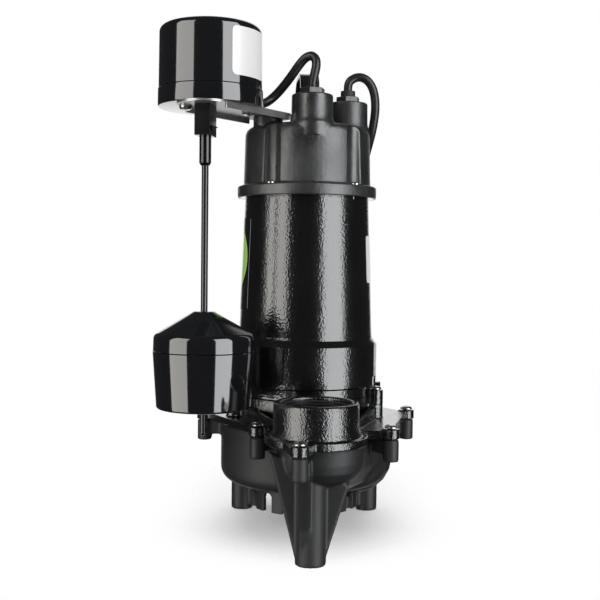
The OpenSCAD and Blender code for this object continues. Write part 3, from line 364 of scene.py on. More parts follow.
def bevelled(node, name, width, finish_name, slot, edge_name=None):
    """A copy of a solid with its sharp edges broken, in a finish of their own where one is named."""
    piece = merged_copy(node, name, flatten=True)
    dress(piece, bpy.data.materials[finish_name], bpy.data.materials[edge_name or finish_name])
    apply_modifier(piece, "BEVEL", width=width, segments=2, limit_method="ANGLE",
                   angle_limit=math.radians(BEVEL_ANGLE), material=1, use_clamp_overlap=True)
    smooth(piece, BEVEL_ANGLE)
    apply_modifier(piece, "WEIGHTED_NORMAL", weight=100, keep_sharp=True)
    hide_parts(node)
    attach(piece, "pump")
    return piece


def smooth_route(points, steps=6):
    """Points on one smooth curve through the given ones."""
    out = []
    n = len(points)
    for i in range(n - 1):
        a, b, c, d = (points[max(i - 1, 0)], points[i], points[i + 1], points[min(i + 2, n - 1)])
        for s in range(steps):
            t = s / steps
            out.append(
                0.5 * ((2 * b) + (c - a) * t + (2 * a - 5 * b + 4 * c - d) * t * t
                       + (3 * b - a - 3 * c + d) * t * t * t))
    out.append(points[-1])
    return out


def cord_piece(name, points, diameter):
    """A round cord along the points: a curve with one open spline."""
    curve = bpy.data.curves.new(name, "CURVE")
    curve.dimensions = "3D"
    curve.bevel_depth = diameter / 2
    curve.bevel_resolution = 5
    curve.use_fill_caps = True
    curve.twist_mode = "MINIMUM"
    spline = curve.splines.new("POLY")
    spline.points.add(len(points) - 1)
    for place, point in zip(spline.points, points):
        place.co = (*point, 1)
    spline.use_smooth = True
    piece = bpy.data.objects.new(name, curve)
    bpy.context.scene.collection.objects.link(piece)
    return piece


def from_axis(x, y, z):
    return Vector((x * MM + AXIS.x, y * MM + AXIS.y, z * MM))


def eased(share):
    """A share from 0 to 1, slow at both ends."""
    share = min(max(share, 0), 1)
    return share * share * (3 - 2 * share)


def round_coil(angle, radius, height):
    turn = math.radians(angle)
    return from_axis(COIL_AT[0] + radius * math.cos(turn), COIL_AT[1] + radius * math.sin(turn), height)


def coil_points():
    """The supply cord's turns: in, out and in again, three layers of three, and up to the plug."""
    turns = [(r, COIL_LOW) for r in COIL_RADII]
    turns += [(r, COIL_LOW + COIL_LAYER) for r in reversed(COIL_RADII)]
    turns += [(r, COIL_LOW + 2 * COIL_LAYER) for r in COIL_RADII]
    points = []
    last = len(turns) - 1
    for i, (r, z) in enumerate(turns):
        before = turns[max(i - 1, 0)][0]
        above = turns[min(i + 1, last)][1]
        first_angle = 0 if i else COIL_STEP
        end_angle = 360 if i < last else COIL_END
        for angle in range(first_angle, end_angle, COIL_STEP):
            radius = before + (r - before) * eased(angle / COIL_EASE)
            height = z + (above - z) * eased((angle - COIL_CLIMB) / COIL_EASE)
            points.append(round_coil(angle - COIL_TURN_BACK, radius, height))
    for angle, past, rise in COIL_TAIL:
        points.append(round_coil(angle - COIL_TAIL_BACK, COIL_RADII[-1] + past, turns[-1][1] + rise))
    plug_low, plug_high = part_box("plug_body")
    tail = Vector((plug_low[0], (plug_low[1] + plug_high[1]) / 2, plug_low[2] + PLUG_ENTRY))
    points.append(tail + PLUG_BEFORE)
    points.append(tail + PLUG_INSIDE)
    return points


def group(name, inputs, outputs):
    tree = bpy.data.node_groups.new(name, "ShaderNodeTree")
    for label, kind, value in inputs:
        socket = tree.interface.new_socket(label, in_out="INPUT", socket_type=kind)
        if value is not None:
            socket.default_value = value
    for label, kind in outputs:
        tree.interface.new_socket(label, in_out="OUTPUT", socket_type=kind)
    return tree, tree.nodes.new("NodeGroupInput"), tree.nodes.new("NodeGroupOutput")


def math_node(tree, operation, first, second=None, clamp=False):
    node = tree.nodes.new("ShaderNodeMath")
    node.operation = operation
    node.use_clamp = clamp
    for i, value in enumerate((first, second)):
        if value is None:
            continue
        if isinstance(value, (int, float)):
            node.inputs[i].default_value = value
        else:
            tree.links.new(value, node.inputs[i])
    return node.outputs[0]


def pebble_group():
    """Low rounded pebbles with finer grain on them: a height and a slow mottle."""
    tree, start, end = group(
        "pebbled_surface",
        [("Scale", "NodeSocketFloat", 500.0), ("Fine", "NodeSocketFloat", 0.35)],
        [("Height", "NodeSocketFloat"), ("Mottle", "NodeSocketFloat")])
    place = tree.nodes.new("ShaderNodeTexCoord").outputs["Object"]
    big = tree.nodes.new("ShaderNodeTexNoise")
    big.inputs["Detail"].default_value = 1
    big.inputs["Roughness"].default_value = 0.35
    tree.links.new(place, big.inputs["Vector"])
    tree.links.new(start.outputs["Scale"], big.inputs["Scale"])
    fine = tree.nodes.new("ShaderNodeTexNoise")
    fine.inputs["Detail"].default_value = 3
    tree.links.new(place, fine.inputs["Vector"])
    tree.links.new(math_node(tree, "MULTIPLY", start.outputs["Scale"], FINE_TIMES), fine.inputs["Scale"])
    small = math_node(tree, "MULTIPLY", fine.outputs["Fac"], start.outputs["Fine"])
    tree.links.new(math_node(tree, "ADD", big.outputs["Fac"], small), end.inputs["Height"])
    slow = tree.nodes.new("ShaderNodeTexNoise")
    slow.inputs["Scale"].default_value = MOTTLE_SCALE
    slow.inputs["Detail"].default_value = 4
    tree.links.new(place, slow.inputs["Vector"])
    tree.links.new(slow.outputs["Fac"], end.inputs["Mottle"])
    return tree


def dust_group():
    """Faint specks and smears of dust as a mask."""
    tree, start, end = group(
        "dust", [("Amount", "NodeSocketFloat", 0.3)], [("Mask", "NodeSocketFloat")])
    place = tree.nodes.new("ShaderNodeTexCoord").outputs["Object"]
    smear = tree.nodes.new("ShaderNodeTexNoise")
    smear.inputs["Scale"].default_value = SMEAR_SCALE
    smear.inputs["Detail"].default_value = 6
    tree.links.new(place, smear.inputs["Vector"])
    specks = tree.nodes.new("ShaderNodeTexNoise")
    specks.inputs["Scale"].default_value = SPECK_SCALE
    specks.inputs["Detail"].default_value = 2
    tree.links.new(place, specks.inputs["Vector"])
    high = math_node(tree, "SUBTRACT", specks.outputs["Fac"], SPECK_LEVEL)
    bright = math_node(tree, "MULTIPLY", high, SPECK_GAIN, clamp=True)
    patchy = math_node(tree, "MULTIPLY", bright, smear.outputs["Fac"])
    tree.links.new(math_node(tree, "MULTIPLY", patchy, start.outputs["Amount"]), end.inputs["Mask"])
    return tree


def mix_colour(tree, mask, first, second):
    node = tree.nodes.new("ShaderNodeMix")
    node.data_type = "RGBA"
    tree.links.new(mask, node.inputs["Factor"])
    for socket, value in ((node.inputs[6], first), (node.inputs[7], second)):
        if isinstance(value, tuple):
            socket.default_value = value
        else:
            tree.links.new(value, socket)
    return node.outputs[2]


def finish(name, colour, rough, spread=0.08, metal=0.0, coat=0.0, coat_rough=0.05, coat_ior=1.5,
           scale=500.0, fine=0.35, depth=0.0001, strength=0.5, mottle=0.25, dust=0.0, specular=0.5):
    """A finish with its own colour drift, uneven gloss, surface grain and dust."""
    material = bpy.data.materials.new(name)
    material.use_nodes = True
    tree = material.node_tree
    shader = tree.nodes["Principled BSDF"]
    surface = tree.nodes.new("ShaderNodeGroup")
    surface.node_tree = bpy.data.node_groups["pebbled_surface"]
    surface.inputs["Scale"].default_value = scale
    surface.inputs["Fine"].default_value = fine
    dark = tuple(c * (1 - mottle) for c in colour) + (1,)
    light = tuple(min(c * (1 + mottle), 1) for c in colour) + (1,)
    base = mix_colour(tree, surface.outputs["Mottle"], dark, light)
    if dust:
        specks = tree.nodes.new("ShaderNodeGroup")
        specks.node_tree = bpy.data.node_groups["dust"]
        specks.inputs["Amount"].default_value = dust
        base = mix_colour(tree, specks.outputs["Mask"], base, DUST_COLOUR)
    tree.links.new(base, shader.inputs["Base Color"])
    uneven = math_node(tree, "MULTIPLY_ADD", surface.outputs["Mottle"], spread * 2)
    uneven.node.inputs[2].default_value = rough - spread
    tree.links.new(uneven, shader.inputs["Roughness"])
    shader.inputs["Metallic"].default_value = metal
    shader.inputs["Coat Weight"].default_value = coat
    shader.inputs["Coat Roughness"].default_value = coat_rough
    shader.inputs["Coat IOR"].default_value = coat_ior
    shader.inputs["Specular IOR Level"].default_value = specular
    if strength:
        bump = tree.nodes.new("ShaderNodeBump")
        bump.inputs["Strength"].default_value = strength
        bump.inputs["Distance"].default_value = depth
        tree.links.new(surface.outputs["Height"], bump.inputs["Height"])
        tree.links.new(bump.outputs["Normal"], shader.inputs["Normal"])
        if coat:
            tree.links.new(bump.outputs["Normal"], shader.inputs["Coat Normal"])
    return material


def rolled(material):
    """Stretches a finish's grain along X, as rolled sheet has."""
    tree = material.node_tree
    shader = tree.nodes["Principled BSDF"]
    place = tree.nodes.new("ShaderNodeTexCoord").outputs["Object"]
    stretch = tree.nodes.new("ShaderNodeMapping")
    stretch.inputs["Scale"].default_value = ROLLED_STRETCH
    tree.links.new(place, stretch.inputs["Vector"])
    lines = tree.nodes.new("ShaderNodeTexNoise")
    lines.inputs["Scale"].default_value = 1.0
    lines.inputs["Detail"].default_value = 4
    tree.links.new(stretch.outputs["Vector"], lines.inputs["Vector"])
    bump = tree.nodes.new("ShaderNodeBump")
    bump.inputs["Strength"].default_value = ROLLED_STRENGTH
    bump.inputs["Distance"].default_value = ROLLED_DEPTH
    tree.links.new(lines.outputs["Fac"], bump.inputs["Height"])
    tree.links.new(shader.inputs["Normal"].links[0].from_socket, bump.inputs["Normal"])
    tree.links.new(bump.outputs["Normal"], shader.inputs["Normal"])
    return material


def printed_disc_and_painted_highlight(material, wide, tall, disc, rise, disc_colour, highlight_colour):
    """Prints a plain disc on a label and paints thin grey side lines as a highlight of its edges, measured in
    metres across its own UV.
    """
    tree = material.node_tree
    shader = tree.nodes["Principled BSDF"]
    base = shader.inputs["Base Color"].links[0].from_socket
    uv = tree.nodes.new("ShaderNodeTexCoord").outputs["UV"]
    parts = tree.nodes.new("ShaderNodeSeparateXYZ")
    tree.links.new(uv, parts.inputs[0])
    across = math_node(tree, "MULTIPLY", math_node(tree, "SUBTRACT", parts.outputs["X"], 0.5), wide)
    up = math_node(tree, "MULTIPLY", math_node(tree, "SUBTRACT", parts.outputs["Y"], 0.5), tall)
    high = math_node(tree, "SUBTRACT", up, rise)
    reach = math_node(tree, "SQRT", math_node(
        tree, "ADD", math_node(tree, "MULTIPLY", across, across), math_node(tree, "MULTIPLY", high, high)))
    inside = math_node(tree, "LESS_THAN", reach, disc)
    # Thin grey side lines: a painted highlight standing in for the light caught by the label's side edges
    edge_x = math_node(tree, "SUBTRACT", wide / 2, math_node(tree, "ABSOLUTE", across))
    edge_y = math_node(tree, "SUBTRACT", tall / 2, math_node(tree, "ABSOLUTE", up))
    edge_highlight = math_node(tree, "MULTIPLY", math_node(tree, "GREATER_THAN", edge_x, EDGE_HIGHLIGHT_OUT),
                     math_node(tree, "LESS_THAN", edge_x, EDGE_HIGHLIGHT_IN))
    edge_highlight = math_node(tree, "MULTIPLY", edge_highlight, math_node(tree, "GREATER_THAN", edge_y, EDGE_HIGHLIGHT_SHORT))
    base = mix_colour(tree, inside, base, (*disc_colour, 1))
    base = mix_colour(tree, edge_highlight, base, (*highlight_colour, 1))
    tree.links.new(base, shader.inputs["Base Color"])
    return material


def dress(piece, *materials):
    piece.data.materials.clear()
    for material in materials:
        piece.data.materials.append(material)
    return piece


def make_finishes():
    pebble_group()
    dust_group()
    c = colours()
    finish("coated_casting", tuple(c.casting), 0.22, coat=1.0, coat_rough=0.035, coat_ior=1.75,
           scale=620, fine=0.05, depth=0.0002, strength=0.95, mottle=0.3, dust=0.05)
    finish("grained_casting", tuple(c.casting), 0.24, coat=1.0, coat_rough=0.05, coat_ior=1.75,
           scale=760, fine=0.08, depth=0.00036, strength=1.0, mottle=0.3, dust=0.05)
    finish("grey_moulding", tuple(c.moulding), 0.36, spread=0.27, coat=0.35, coat_rough=0.3,
           scale=240, fine=0.6, depth=0.00026, strength=0.6, mottle=0.6, dust=0.7, specular=1.0)
    finish("satin_casting", tuple(c.satin), 0.5, scale=1300, fine=0.6, depth=0.00008,
           strength=0.5, mottle=0.2, dust=0.08, specular=0.45)
    finish("gloss_plastic", tuple(c.gloss), 0.1, spread=0.03, coat=1.0, coat_rough=0.045, coat_ior=1.7,
           scale=90, fine=0.05, depth=0.00003, strength=0.08, mottle=0.1)
    rolled(finish("rolled_sheet", tuple(c.sheet), 0.3, metal=0.7, scale=300, fine=0.3, depth=0.00004,
                  strength=0.2, mottle=0.3))
    finish("black_moulding", (0.0045, 0.0045, 0.005), 0.16, spread=0.06, scale=900, fine=0.4, depth=0.00003,
           strength=0.25, mottle=0.2, coat=0.6, coat_rough=0.08)
    finish("bare_edge", (0.75, 0.75, 0.74), 0.28, metal=1.0,
           scale=1500, depth=0.00003, strength=0.3, mottle=0.15)
    finish("bright_screw", tuple(c.screw), 0.26, spread=0.1, metal=1.0,
           scale=1800, fine=0.6, depth=0.00004, strength=0.35, mottle=0.2)
    finish("cord_rubber", tuple(c.rubber), 0.38, coat=0.25, coat_rough=0.2,
           scale=1100, fine=0.5, depth=0.00004, strength=0.35, mottle=0.2)
    finish("soft_rubber", (0.02, 0.02, 0.021), 0.6,
           scale=1300, fine=0.6, depth=0.00005, strength=0.4, mottle=0.2)
    finish("black_strap", (0.01, 0.01, 0.011), 0.22, spread=0.06, coat=0.6, coat_rough=0.06,
           scale=420, depth=0.00005, strength=0.2, mottle=0.2)
    finish("laminated_steel", (0.3, 0.3, 0.31), 0.42, metal=0.9,
           scale=1600, depth=0.00006, strength=0.5, mottle=0.25)
    finish("varnished_copper", (0.5, 0.17, 0.06), 0.3, metal=0.7, coat=0.6,
           scale=1300, depth=0.0002, strength=0.6, mottle=0.3)
    finish("ground_steel", (0.6, 0.6, 0.61), 0.18, metal=1.0,
           scale=2200, depth=0.00002, strength=0.3, mottle=0.1)
    finish("cast_aluminium", (0.5, 0.51, 0.53), 0.42, metal=0.9,
           scale=900, depth=0.00012, strength=0.5, mottle=0.15)
    finish("ceramic_ring", (0.75, 0.74, 0.7), 0.25,
           scale=900, depth=0.00002, strength=0.2, mottle=0.06)
    finish("red_moulding", (0.4, 0.03, 0.02), 0.4,
           scale=1400, depth=0.00004, strength=0.3, mottle=0.1)
    finish("brass_blade", (0.62, 0.42, 0.16), 0.25, metal=1.0,
           scale=1500, depth=0.00003, strength=0.3, mottle=0.15)
    finish("blank_label", (0.9, 0.9, 0.9), 0.35, spread=0.05, coat=0.3, coat_rough=0.15, scale=700,
           depth=0.00002, strength=0.2, mottle=0.03)
    # The grey (0.4, 0.4, 0.39) side lines on this label are a painted highlight of its side edges
    printed_disc_and_painted_highlight(finish("green_disc_label", (0.006, 0.006, 0.0065), 0.25, spread=0.05, coat=0.8, coat_rough=0.08,
                   scale=700, depth=0.00002, strength=0.2, mottle=0.1),
            SIDE_LABEL_WIDE, SIDE_LABEL_TALL, DISC_R, DISC_RISE, (0.42, 0.74, 0.16), (0.4, 0.4, 0.39))


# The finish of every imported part
FINISH_NODES = {
    "satin_casting": ("volute", "strainer"),
    "soft_rubber": (
        "volute_gasket", "housing_o_ring", "cover_o_ring", "switch_grommet", "power_grommet",
        "seal_head", "case_grommet", "rod_stop", "cord_tie", "plug_body",
    ),
    "grained_casting": ("discharge_casting",),
    "bright_screw": (
        "volute_screws", "housing_screws", "cover_screws", "handle_screws", "impeller_nut",
        "bracket_screw", "switch_screws",
    ),
    "coated_casting": ("motor_housing",),
    "grey_moulding": ("top_cover", "switch_gland_nut", "power_gland_nut"),
    "black_strap": ("lift_handle", "float_rod"),
    "cast_aluminium": ("run_capacitor", "bearing_bracket"),
    "laminated_steel": ("stator_core", "rotor_core"),
    "varnished_copper": ("stator_windings",),
    "ground_steel": ("upper_bearing", "lower_bearing", "motor_shaft", "arm_pin", "switch_arm"),
    "ceramic_ring": ("seal_seat",),
    "gloss_plastic": ("impeller", "switch_base", "switch_case", "float_lower", "float_upper"),
    "rolled_sheet": ("switch_bracket",),
    "black_moulding": ("rod_guide", "guide_pin", "rod_sleeve"),
    "red_moulding": ("microswitch",),
    "brass_blade": ("plug_blades",),
    "cord_rubber": ("switch_lead", "power_cord", "power_cord_coil"),
}


# Tall strips that only reflections see, warm on the left and cool on the right: name, place, watts and colour
STRIP_WIDE, STRIP_TALL, STRIP_Z = 1.15, 2.7, 0.42
STRIPS = (
    ("left_strip", -1.238, -0.9, 26.4, (1.0, 0.985, 0.945)),
    ("right_strip", 1.194, -1.02, 37.9, (0.965, 0.985, 1.0)),
)
# Soft lamps that only matte light sees: name, place, aim, width and watts
FILLS = (
    ("left_fill", (-1.0, -1.0, 0.9), (0, 0, 0.3), 0.9, 7),
    ("right_fill", (1.1, -0.9, 0.9), (0, 0, 0.3), 0.9, 7),
    ("overhead", (0, 0.1, 1.6), (0, 0, 0), 1.6, 12),
)
# The floor shows its shade near the pump and lets the white air through farther away
FLOOR_R = 1.5
FLOOR_Z = -0.0002
SHADE_NEAR, SHADE_FAR = 0.03, 0.155
SHADE_FULL, SHADE_LEFT = 0.77, 0.015
SHADE_BEHIND = 0.2
# The curtain is open where y is past the last of these
CURTAIN_R = 1.8
CURTAIN_TALL = 4.4
CURTAIN_Z = 0.6
CURTAIN_OPEN_Y = 1.6
# How strongly the white air lights matte surfaces
AIR_MATTE = 0.62
# The camera: lens in millimetres, distance in front of the pump's axis, height, and turns in radians
CAMERA_LENS = 57.0
CAMERA_BACK = 0.872
CAMERA_Z = 0.239
CAMERA_TURN, CAMERA_TILT, CAMERA_ROLL = 0.006, 0.0388, 0.011


def lamp(name, at, aim, width, height, watts, seen_by):
    data = bpy.data.lights.new(name, "AREA")
    data.shape = "RECTANGLE"
    data.size = width
    data.size_y = height
    data.energy = watts
    lamp_object = bpy.data.objects.new(name, data)
    lamp_object.location = at
    lamp_object.rotation_euler = (Vector(aim) - Vector(at)).to_track_quat("-Z", "Y").to_euler()
    lamp_object.visible_camera = False
    lamp_object.visible_glossy = seen_by == "gloss"
    lamp_object.visible_diffuse = seen_by == "matte"
    bpy.context.scene.collection.objects.link(lamp_object)
    return lamp_object


class PUMP_OT_stage(bpy.types.Operator):
    """Adds the pale floor, the dark curtain, the white air, the lamps and the camera"""

    bl_idname = "pump.stage"
    bl_label = "Stage"

    def execute(self, context):
        scene = context.scene
        scene.view_settings.view_transform = "Standard"
        self.floor()
        self.curtain()
        self.air(scene)
        for name, x, y, watts, colour in STRIPS:
            strip = lamp(name, (x, y, STRIP_Z), (0, 0, STRIP_Z), STRIP_WIDE, STRIP_TALL, watts, "gloss")
            strip.data.color = colour
        for name, at, aim, wide, watts in FILLS:
            lamp(name, at, aim, wide, wide, watts, "matte")
        self.camera(scene)
        return {"FINISHED"}

    def floor(self):
        clear_selection()
        bpy.ops.mesh.primitive_circle_add(
            vertices=96, radius=FLOOR_R, fill_type="NGON", location=(0, 0, FLOOR_Z))
        floor = settle(bpy.context.object, "studio_floor")
        white = bpy.data.materials.new("studio_white")
        white.use_nodes = True
        tree = white.node_tree
        shader = tree.nodes["Principled BSDF"]
        shader.inputs["Base Color"].default_value = (*colours().backdrop, 1)
        shader.inputs["Roughness"].default_value = 0.9
        shader.inputs["Specular IOR Level"].default_value = 0.1
        place = tree.nodes.new("ShaderNodeTexCoord").outputs["Object"]
        parts = tree.nodes.new("ShaderNodeSeparateXYZ")
        tree.links.new(place, parts.inputs[0])
        across = math_node(tree, "SUBTRACT", parts.outputs["X"], AXIS.x)
        along = math_node(tree, "SUBTRACT", parts.outputs["Y"], AXIS.y)
        behind = math_node(tree, "MINIMUM", math_node(tree, "MAXIMUM", along, 0.0), SHADE_BEHIND)
        flat = tree.nodes.new("ShaderNodeCombineXYZ")
        tree.links.new(across, flat.inputs[0])
        tree.links.new(math_node(tree, "SUBTRACT", along, behind), flat.inputs[1])
        reach = tree.nodes.new("ShaderNodeVectorMath")
        reach.operation = "LENGTH"
        tree.links.new(flat.outputs[0], reach.inputs[0])
        fade = tree.nodes.new("ShaderNodeMapRange")
        fade.interpolation_type = "SMOOTHERSTEP"
        fade.inputs["From Min"].default_value = SHADE_NEAR
        fade.inputs["From Max"].default_value = SHADE_FAR
        fade.inputs["To Min"].default_value = SHADE_FULL
        fade.inputs["To Max"].default_value = SHADE_LEFT
        tree.links.new(reach.outputs["Value"], fade.inputs["Value"])
        tree.links.new(fade.outputs["Result"], shader.inputs["Alpha"])
        dress(floor, white)
        floor.visible_glossy = False

    def curtain(self):
        """Dark cloth round the front and the sides that only reflections see, open behind the pump."""
        clear_selection()
        bpy.ops.mesh.primitive_cylinder_add(
            vertices=72, radius=CURTAIN_R, depth=CURTAIN_TALL, end_fill_type="NGON",
            location=(0, 0, CURTAIN_Z))
        cloth = settle(bpy.context.object, "dark_curtain")
        bpy.ops.object.mode_set(mode="EDIT")
        mesh = bmesh.from_edit_mesh(cloth.data)
        for face in mesh.faces:
            middle = face.calc_center_median()
            face.select_set(middle.y > CURTAIN_OPEN_Y)
        bmesh.update_edit_mesh(cloth.data)
        bpy.ops.mesh.delete(type="FACE")
        bpy.ops.object.mode_set(mode="OBJECT")
        dark = bpy.data.materials.new("curtain_cloth")
        dark.use_nodes = True
        shader = dark.node_tree.nodes["Principled BSDF"]
        shader.inputs["Base Color"].default_value = (0.03, 0.03, 0.03, 1)
        shader.inputs["Roughness"].default_value = 1.0
        shader.inputs["Specular IOR Level"].default_value = 0.0
        dress(cloth, dark)
        cloth.visible_camera = False
        cloth.visible_diffuse = False
        cloth.visible_shadow = False

    def air(self, scene):
        world = bpy.data.worlds.new("studio_air")
        world.use_nodes = True
        scene.world = world
        air = world.node_tree
        back = air.nodes["Background"]
        back.inputs["Color"].default_value = (1, 1, 1, 1)
        back.inputs["Strength"].default_value = AIR_MATTE
        seen = air.nodes.new("ShaderNodeBackground")
        seen.inputs["Color"].default_value = (1, 1, 1, 1)
        seen.inputs["Strength"].default_value = 1.0
        light_path = air.nodes.new("ShaderNodeLightPath")
        rays = math_node(air, "ADD", light_path.outputs["Is Camera Ray"], light_path.outputs["Is Glossy Ray"])
        rays = math_node(air, "ADD", rays, light_path.outputs["Is Transmission Ray"], clamp=True)
        mix = air.nodes.new("ShaderNodeMixShader")
        air.links.new(rays, mix.inputs[0])
        air.links.new(back.outputs[0], mix.inputs[1])
        air.links.new(seen.outputs[0], mix.inputs[2])
        air.links.new(mix.outputs[0], air.nodes["World Output"].inputs[0])

    def camera(self, scene):
        camera_data = bpy.data.cameras.new("photo_camera")
        camera_data.sensor_width = 36
        camera_data.lens = CAMERA_LENS
        camera_data.clip_start = 0.02
        camera = bpy.data.objects.new("photo_camera", camera_data)
        camera.location = (AXIS.x, AXIS.y - CAMERA_BACK, CAMERA_Z)
        turn = (
            Matrix.Rotation(CAMERA_TURN, 4, "Z")
            @ Matrix.Rotation(math.pi / 2 - CAMERA_TILT, 4, "X")
            @ Matrix.Rotation(CAMERA_ROLL, 4, "Z")
        )
        camera.rotation_euler = turn.to_euler()
        scene.collection.objects.link(camera)
        scene.camera = camera


class PUMP_OT_cords(bpy.types.Operator):
    """Adds the supply cord with its coil and plug, and the switch's lead"""

    bl_idname = "pump.cords"
    bl_label = "Cords"

    def execute(self, context):
        diameter = sizes().cord_diameter
        plug = bevelled("plug_body", "bevelled_plug", 0.0012, "soft_rubber", "black_rubber")
        blades = bevelled("plug_blades", "bevelled_blades", 0.0003, "brass_blade", "brass")
        route = [from_axis(*p) for p in CORD_ROUTE]
        points = smooth_route(route + coil_points(), 4)
        supply = cord_piece("supply_cord", points, diameter)
        dress(supply, bpy.data.materials["cord_rubber"])
        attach(supply, "pump")
        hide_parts("power_cord", "power_cord_coil")
        points = smooth_route([from_axis(*p) for p in LEAD_ROUTE], 6)
        lead = cord_piece("float_switch_lead", points, diameter)
        dress(lead, bpy.data.materials["cord_rubber"])
        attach(lead, "pump")
        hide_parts("switch_lead")
        return {"FINISHED"}


# Castings: node, name, share of the fillet, smoothing passes, share of the faces kept, finish and slot
CASTINGS = (
    ("volute", "filleted_volute", 1.0, 3, 0.45, "satin_casting", "grey_plastic"),
    ("strainer", "filleted_strainer", 0.7, 2, 0.6, "satin_casting", "grey_plastic"),
    ("discharge_casting", "filleted_casting", 0.65, 2, 0.3, "grained_casting", "black_casting"),
    ("top_cover", "filleted_cover", 0.75, 2, 0.4, "grey_moulding", "grey_plastic"),
)


class PUMP_OT_castings(bpy.types.Operator):
    """Gives the volute, its strainer, the pump casting and the cover their cast fillets"""

    bl_idname = "pump.castings"
    bl_label = "Castings"

    def execute(self, context):
        fillet = sizes().casting_fillet
        for node, name, share, passes, keep, finish_name, slot in CASTINGS:
            filleted(node, name, fillet * share, passes, keep, finish_name)
        return {"FINISHED"}


class PUMP_OT_threads(bpy.types.Operator):
    """Winds the ridge of the pipe thread inside the discharge collar"""

    bl_idname = "pump.threads"
    bl_label = "Collar thread"

    def execute(self, context):
        mount = next(m for m in FRAME["record"]["mounts"] if m["name"] == "discharge_port")
        at = Vector(mount["pos_m"])
        wall = mount["dims"]["r_mm"] * MM
        pitch = sizes().thread_pitch
        turns = int((mount["dims"]["length_mm"] * MM - THREAD_FREE) / pitch)
        start = (at.x + wall, at.y, at.z - THREAD_DOWN)
        clear_selection()
        bpy.ops.mesh.primitive_plane_add(size=pitch * 0.5, location=start)
        ridge = context.object
        edit(settle(ridge, "collar_thread"))
        bpy.ops.transform.rotate(value=math.pi / 2, orient_axis="X", center_override=start)
        bpy.ops.object.mode_set(mode="OBJECT")
        for vertex in ridge.data.vertices:
            side = 1 if vertex.co.z > start[2] else -1
            crest = vertex.co.x < start[0]
            vertex.co.x = at.x + (wall - THREAD_CREST if crest else wall + THREAD_ROOT)
            vertex.co.z = start[2] + side * (CREST_HALF if crest else ROOT_HALF)
            vertex.co.y = at.y
        ridge.data.update()
        edit(ridge)
        bpy.ops.mesh.delete(type="ONLY_FACE")
        bpy.ops.object.mode_set(mode="OBJECT")
        screw = ridge.modifiers.new("Thread", "SCREW")
        screw.axis = "Z"
        screw.angle = -2 * math.pi * turns
        screw.screw_offset = -pitch * turns
        screw.steps = THREAD_STEPS * turns
        screw.render_steps = THREAD_STEPS * turns
        pivot = bpy.data.objects.new("thread_axis", None)
        pivot.location = at
        context.scene.collection.objects.link(pivot)
        context.view_layer.update()
        screw.object = pivot
        take(ridge)
        bpy.ops.object.modifier_apply(modifier=screw.name)
        bpy.data.objects.remove(pivot)
        outward(ridge)
        smooth(ridge, 30)
        dress(ridge, bpy.data.materials["satin_casting"])
        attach(ridge, "pump")
        return {"FINISHED"}


class PUMP_OT_switch_can(bpy.types.Operator):
    """Turns the float switch's foot, its case and the case's lining"""

    bl_idname = "pump.switch_can"
    bl_label = "Switch can"

    def execute(self, context):
        low, high = BASE_LOW, BASE_HIGH
        r = (high[0] - low[0]) / 2
        profile = [(FOOT_BORE, low[2])]
        profile += arc(r - FOOT_EDGE, low[2] + FOOT_EDGE, FOOT_EDGE, -90, 0, 5)
        profile += arc(r - FOOT_LIP, high[2] - FOOT_LIP, FOOT_LIP, 0, 90, 4)
        profile += [(r - FOOT_WALL, high[2]), (r - FOOT_WALL, low[2] + FOOT_CORNER_UP),
                    (r - FOOT_CORNER_IN, low[2] + FOOT_FLOOR), (0, low[2] + FOOT_FLOOR)]
        foot = turned("switch_foot", CAN, profile)
        dress(foot, bpy.data.materials["gloss_plastic"])
        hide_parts("switch_base")
        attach(foot, "pump")
        low, high = CASE_LOW, CASE_HIGH
        r = (high[0] - low[0]) / 2
        wall, edge = CASE_WALL, CASE_SHOULDER
        top = r - CASE_LIP
        profile = [(r - wall, low[2]), (top, low[2]), (r, low[2] + CASE_LIP)]
        profile += arc(top - edge, high[2] - edge, edge, 2, 90, 14)
        case = turned("switch_can", CAN, profile)
        inner = turned("switch_can_lining", CAN, [(0, high[2] - wall), (top - edge, high[2] - wall),
                                                  (top - wall, high[2] - edge), (r - wall, low[2])])
        for piece in (case, inner):
            dress(piece, bpy.data.materials["gloss_plastic"])
            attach(piece, "pump")
        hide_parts("switch_case")
        return {"FINISHED"}


def barrel_radius(z):
    return BARREL_R - (z - BARREL_Z) * BARREL_TAPER


def wrapped_label(name, at, radius, heights, angles, finish_name, taper, corner=0.003):
    """A blank label that follows a round wall between two heights and two angles in degrees."""
    bottom, top = heights
    start, end = angles
    wide = radius * math.radians(end - start)
    tall = top - bottom
    clear_selection()
    bpy.ops.mesh.primitive_plane_add(size=1, location=(0, 0, 0))
    piece = bpy.context.object
    edit(piece)
    bpy.ops.transform.resize(value=(wide, tall, 1))
    bpy.ops.mesh.bevel(offset=corner, segments=6, affect="VERTICES")
    for i in range(1, LABEL_STEPS):
        bpy.ops.mesh.select_all(action="SELECT")
        bpy.ops.mesh.bisect(plane_co=(-wide / 2 + wide * i / LABEL_STEPS, 0, 0), plane_no=(1, 0, 0))
    bpy.ops.object.mode_set(mode="OBJECT")
    for vertex in piece.data.vertices:
        share = vertex.co.x / wide + 0.5
        angle = math.radians(start + (end - start) * share)
        height = vertex.co.y + tall / 2
        reach = radius - taper * height
        vertex.co = (at[0] + reach * math.cos(angle), at[1] + reach * math.sin(angle), bottom + height)
    piece.data.update()
    settle(piece, name)
    apply_modifier(piece, "SOLIDIFY", thickness=LABEL_THICK, offset=0)
    smooth(piece, 40)
    dress(piece, bpy.data.materials[finish_name])
    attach(piece, "pump")


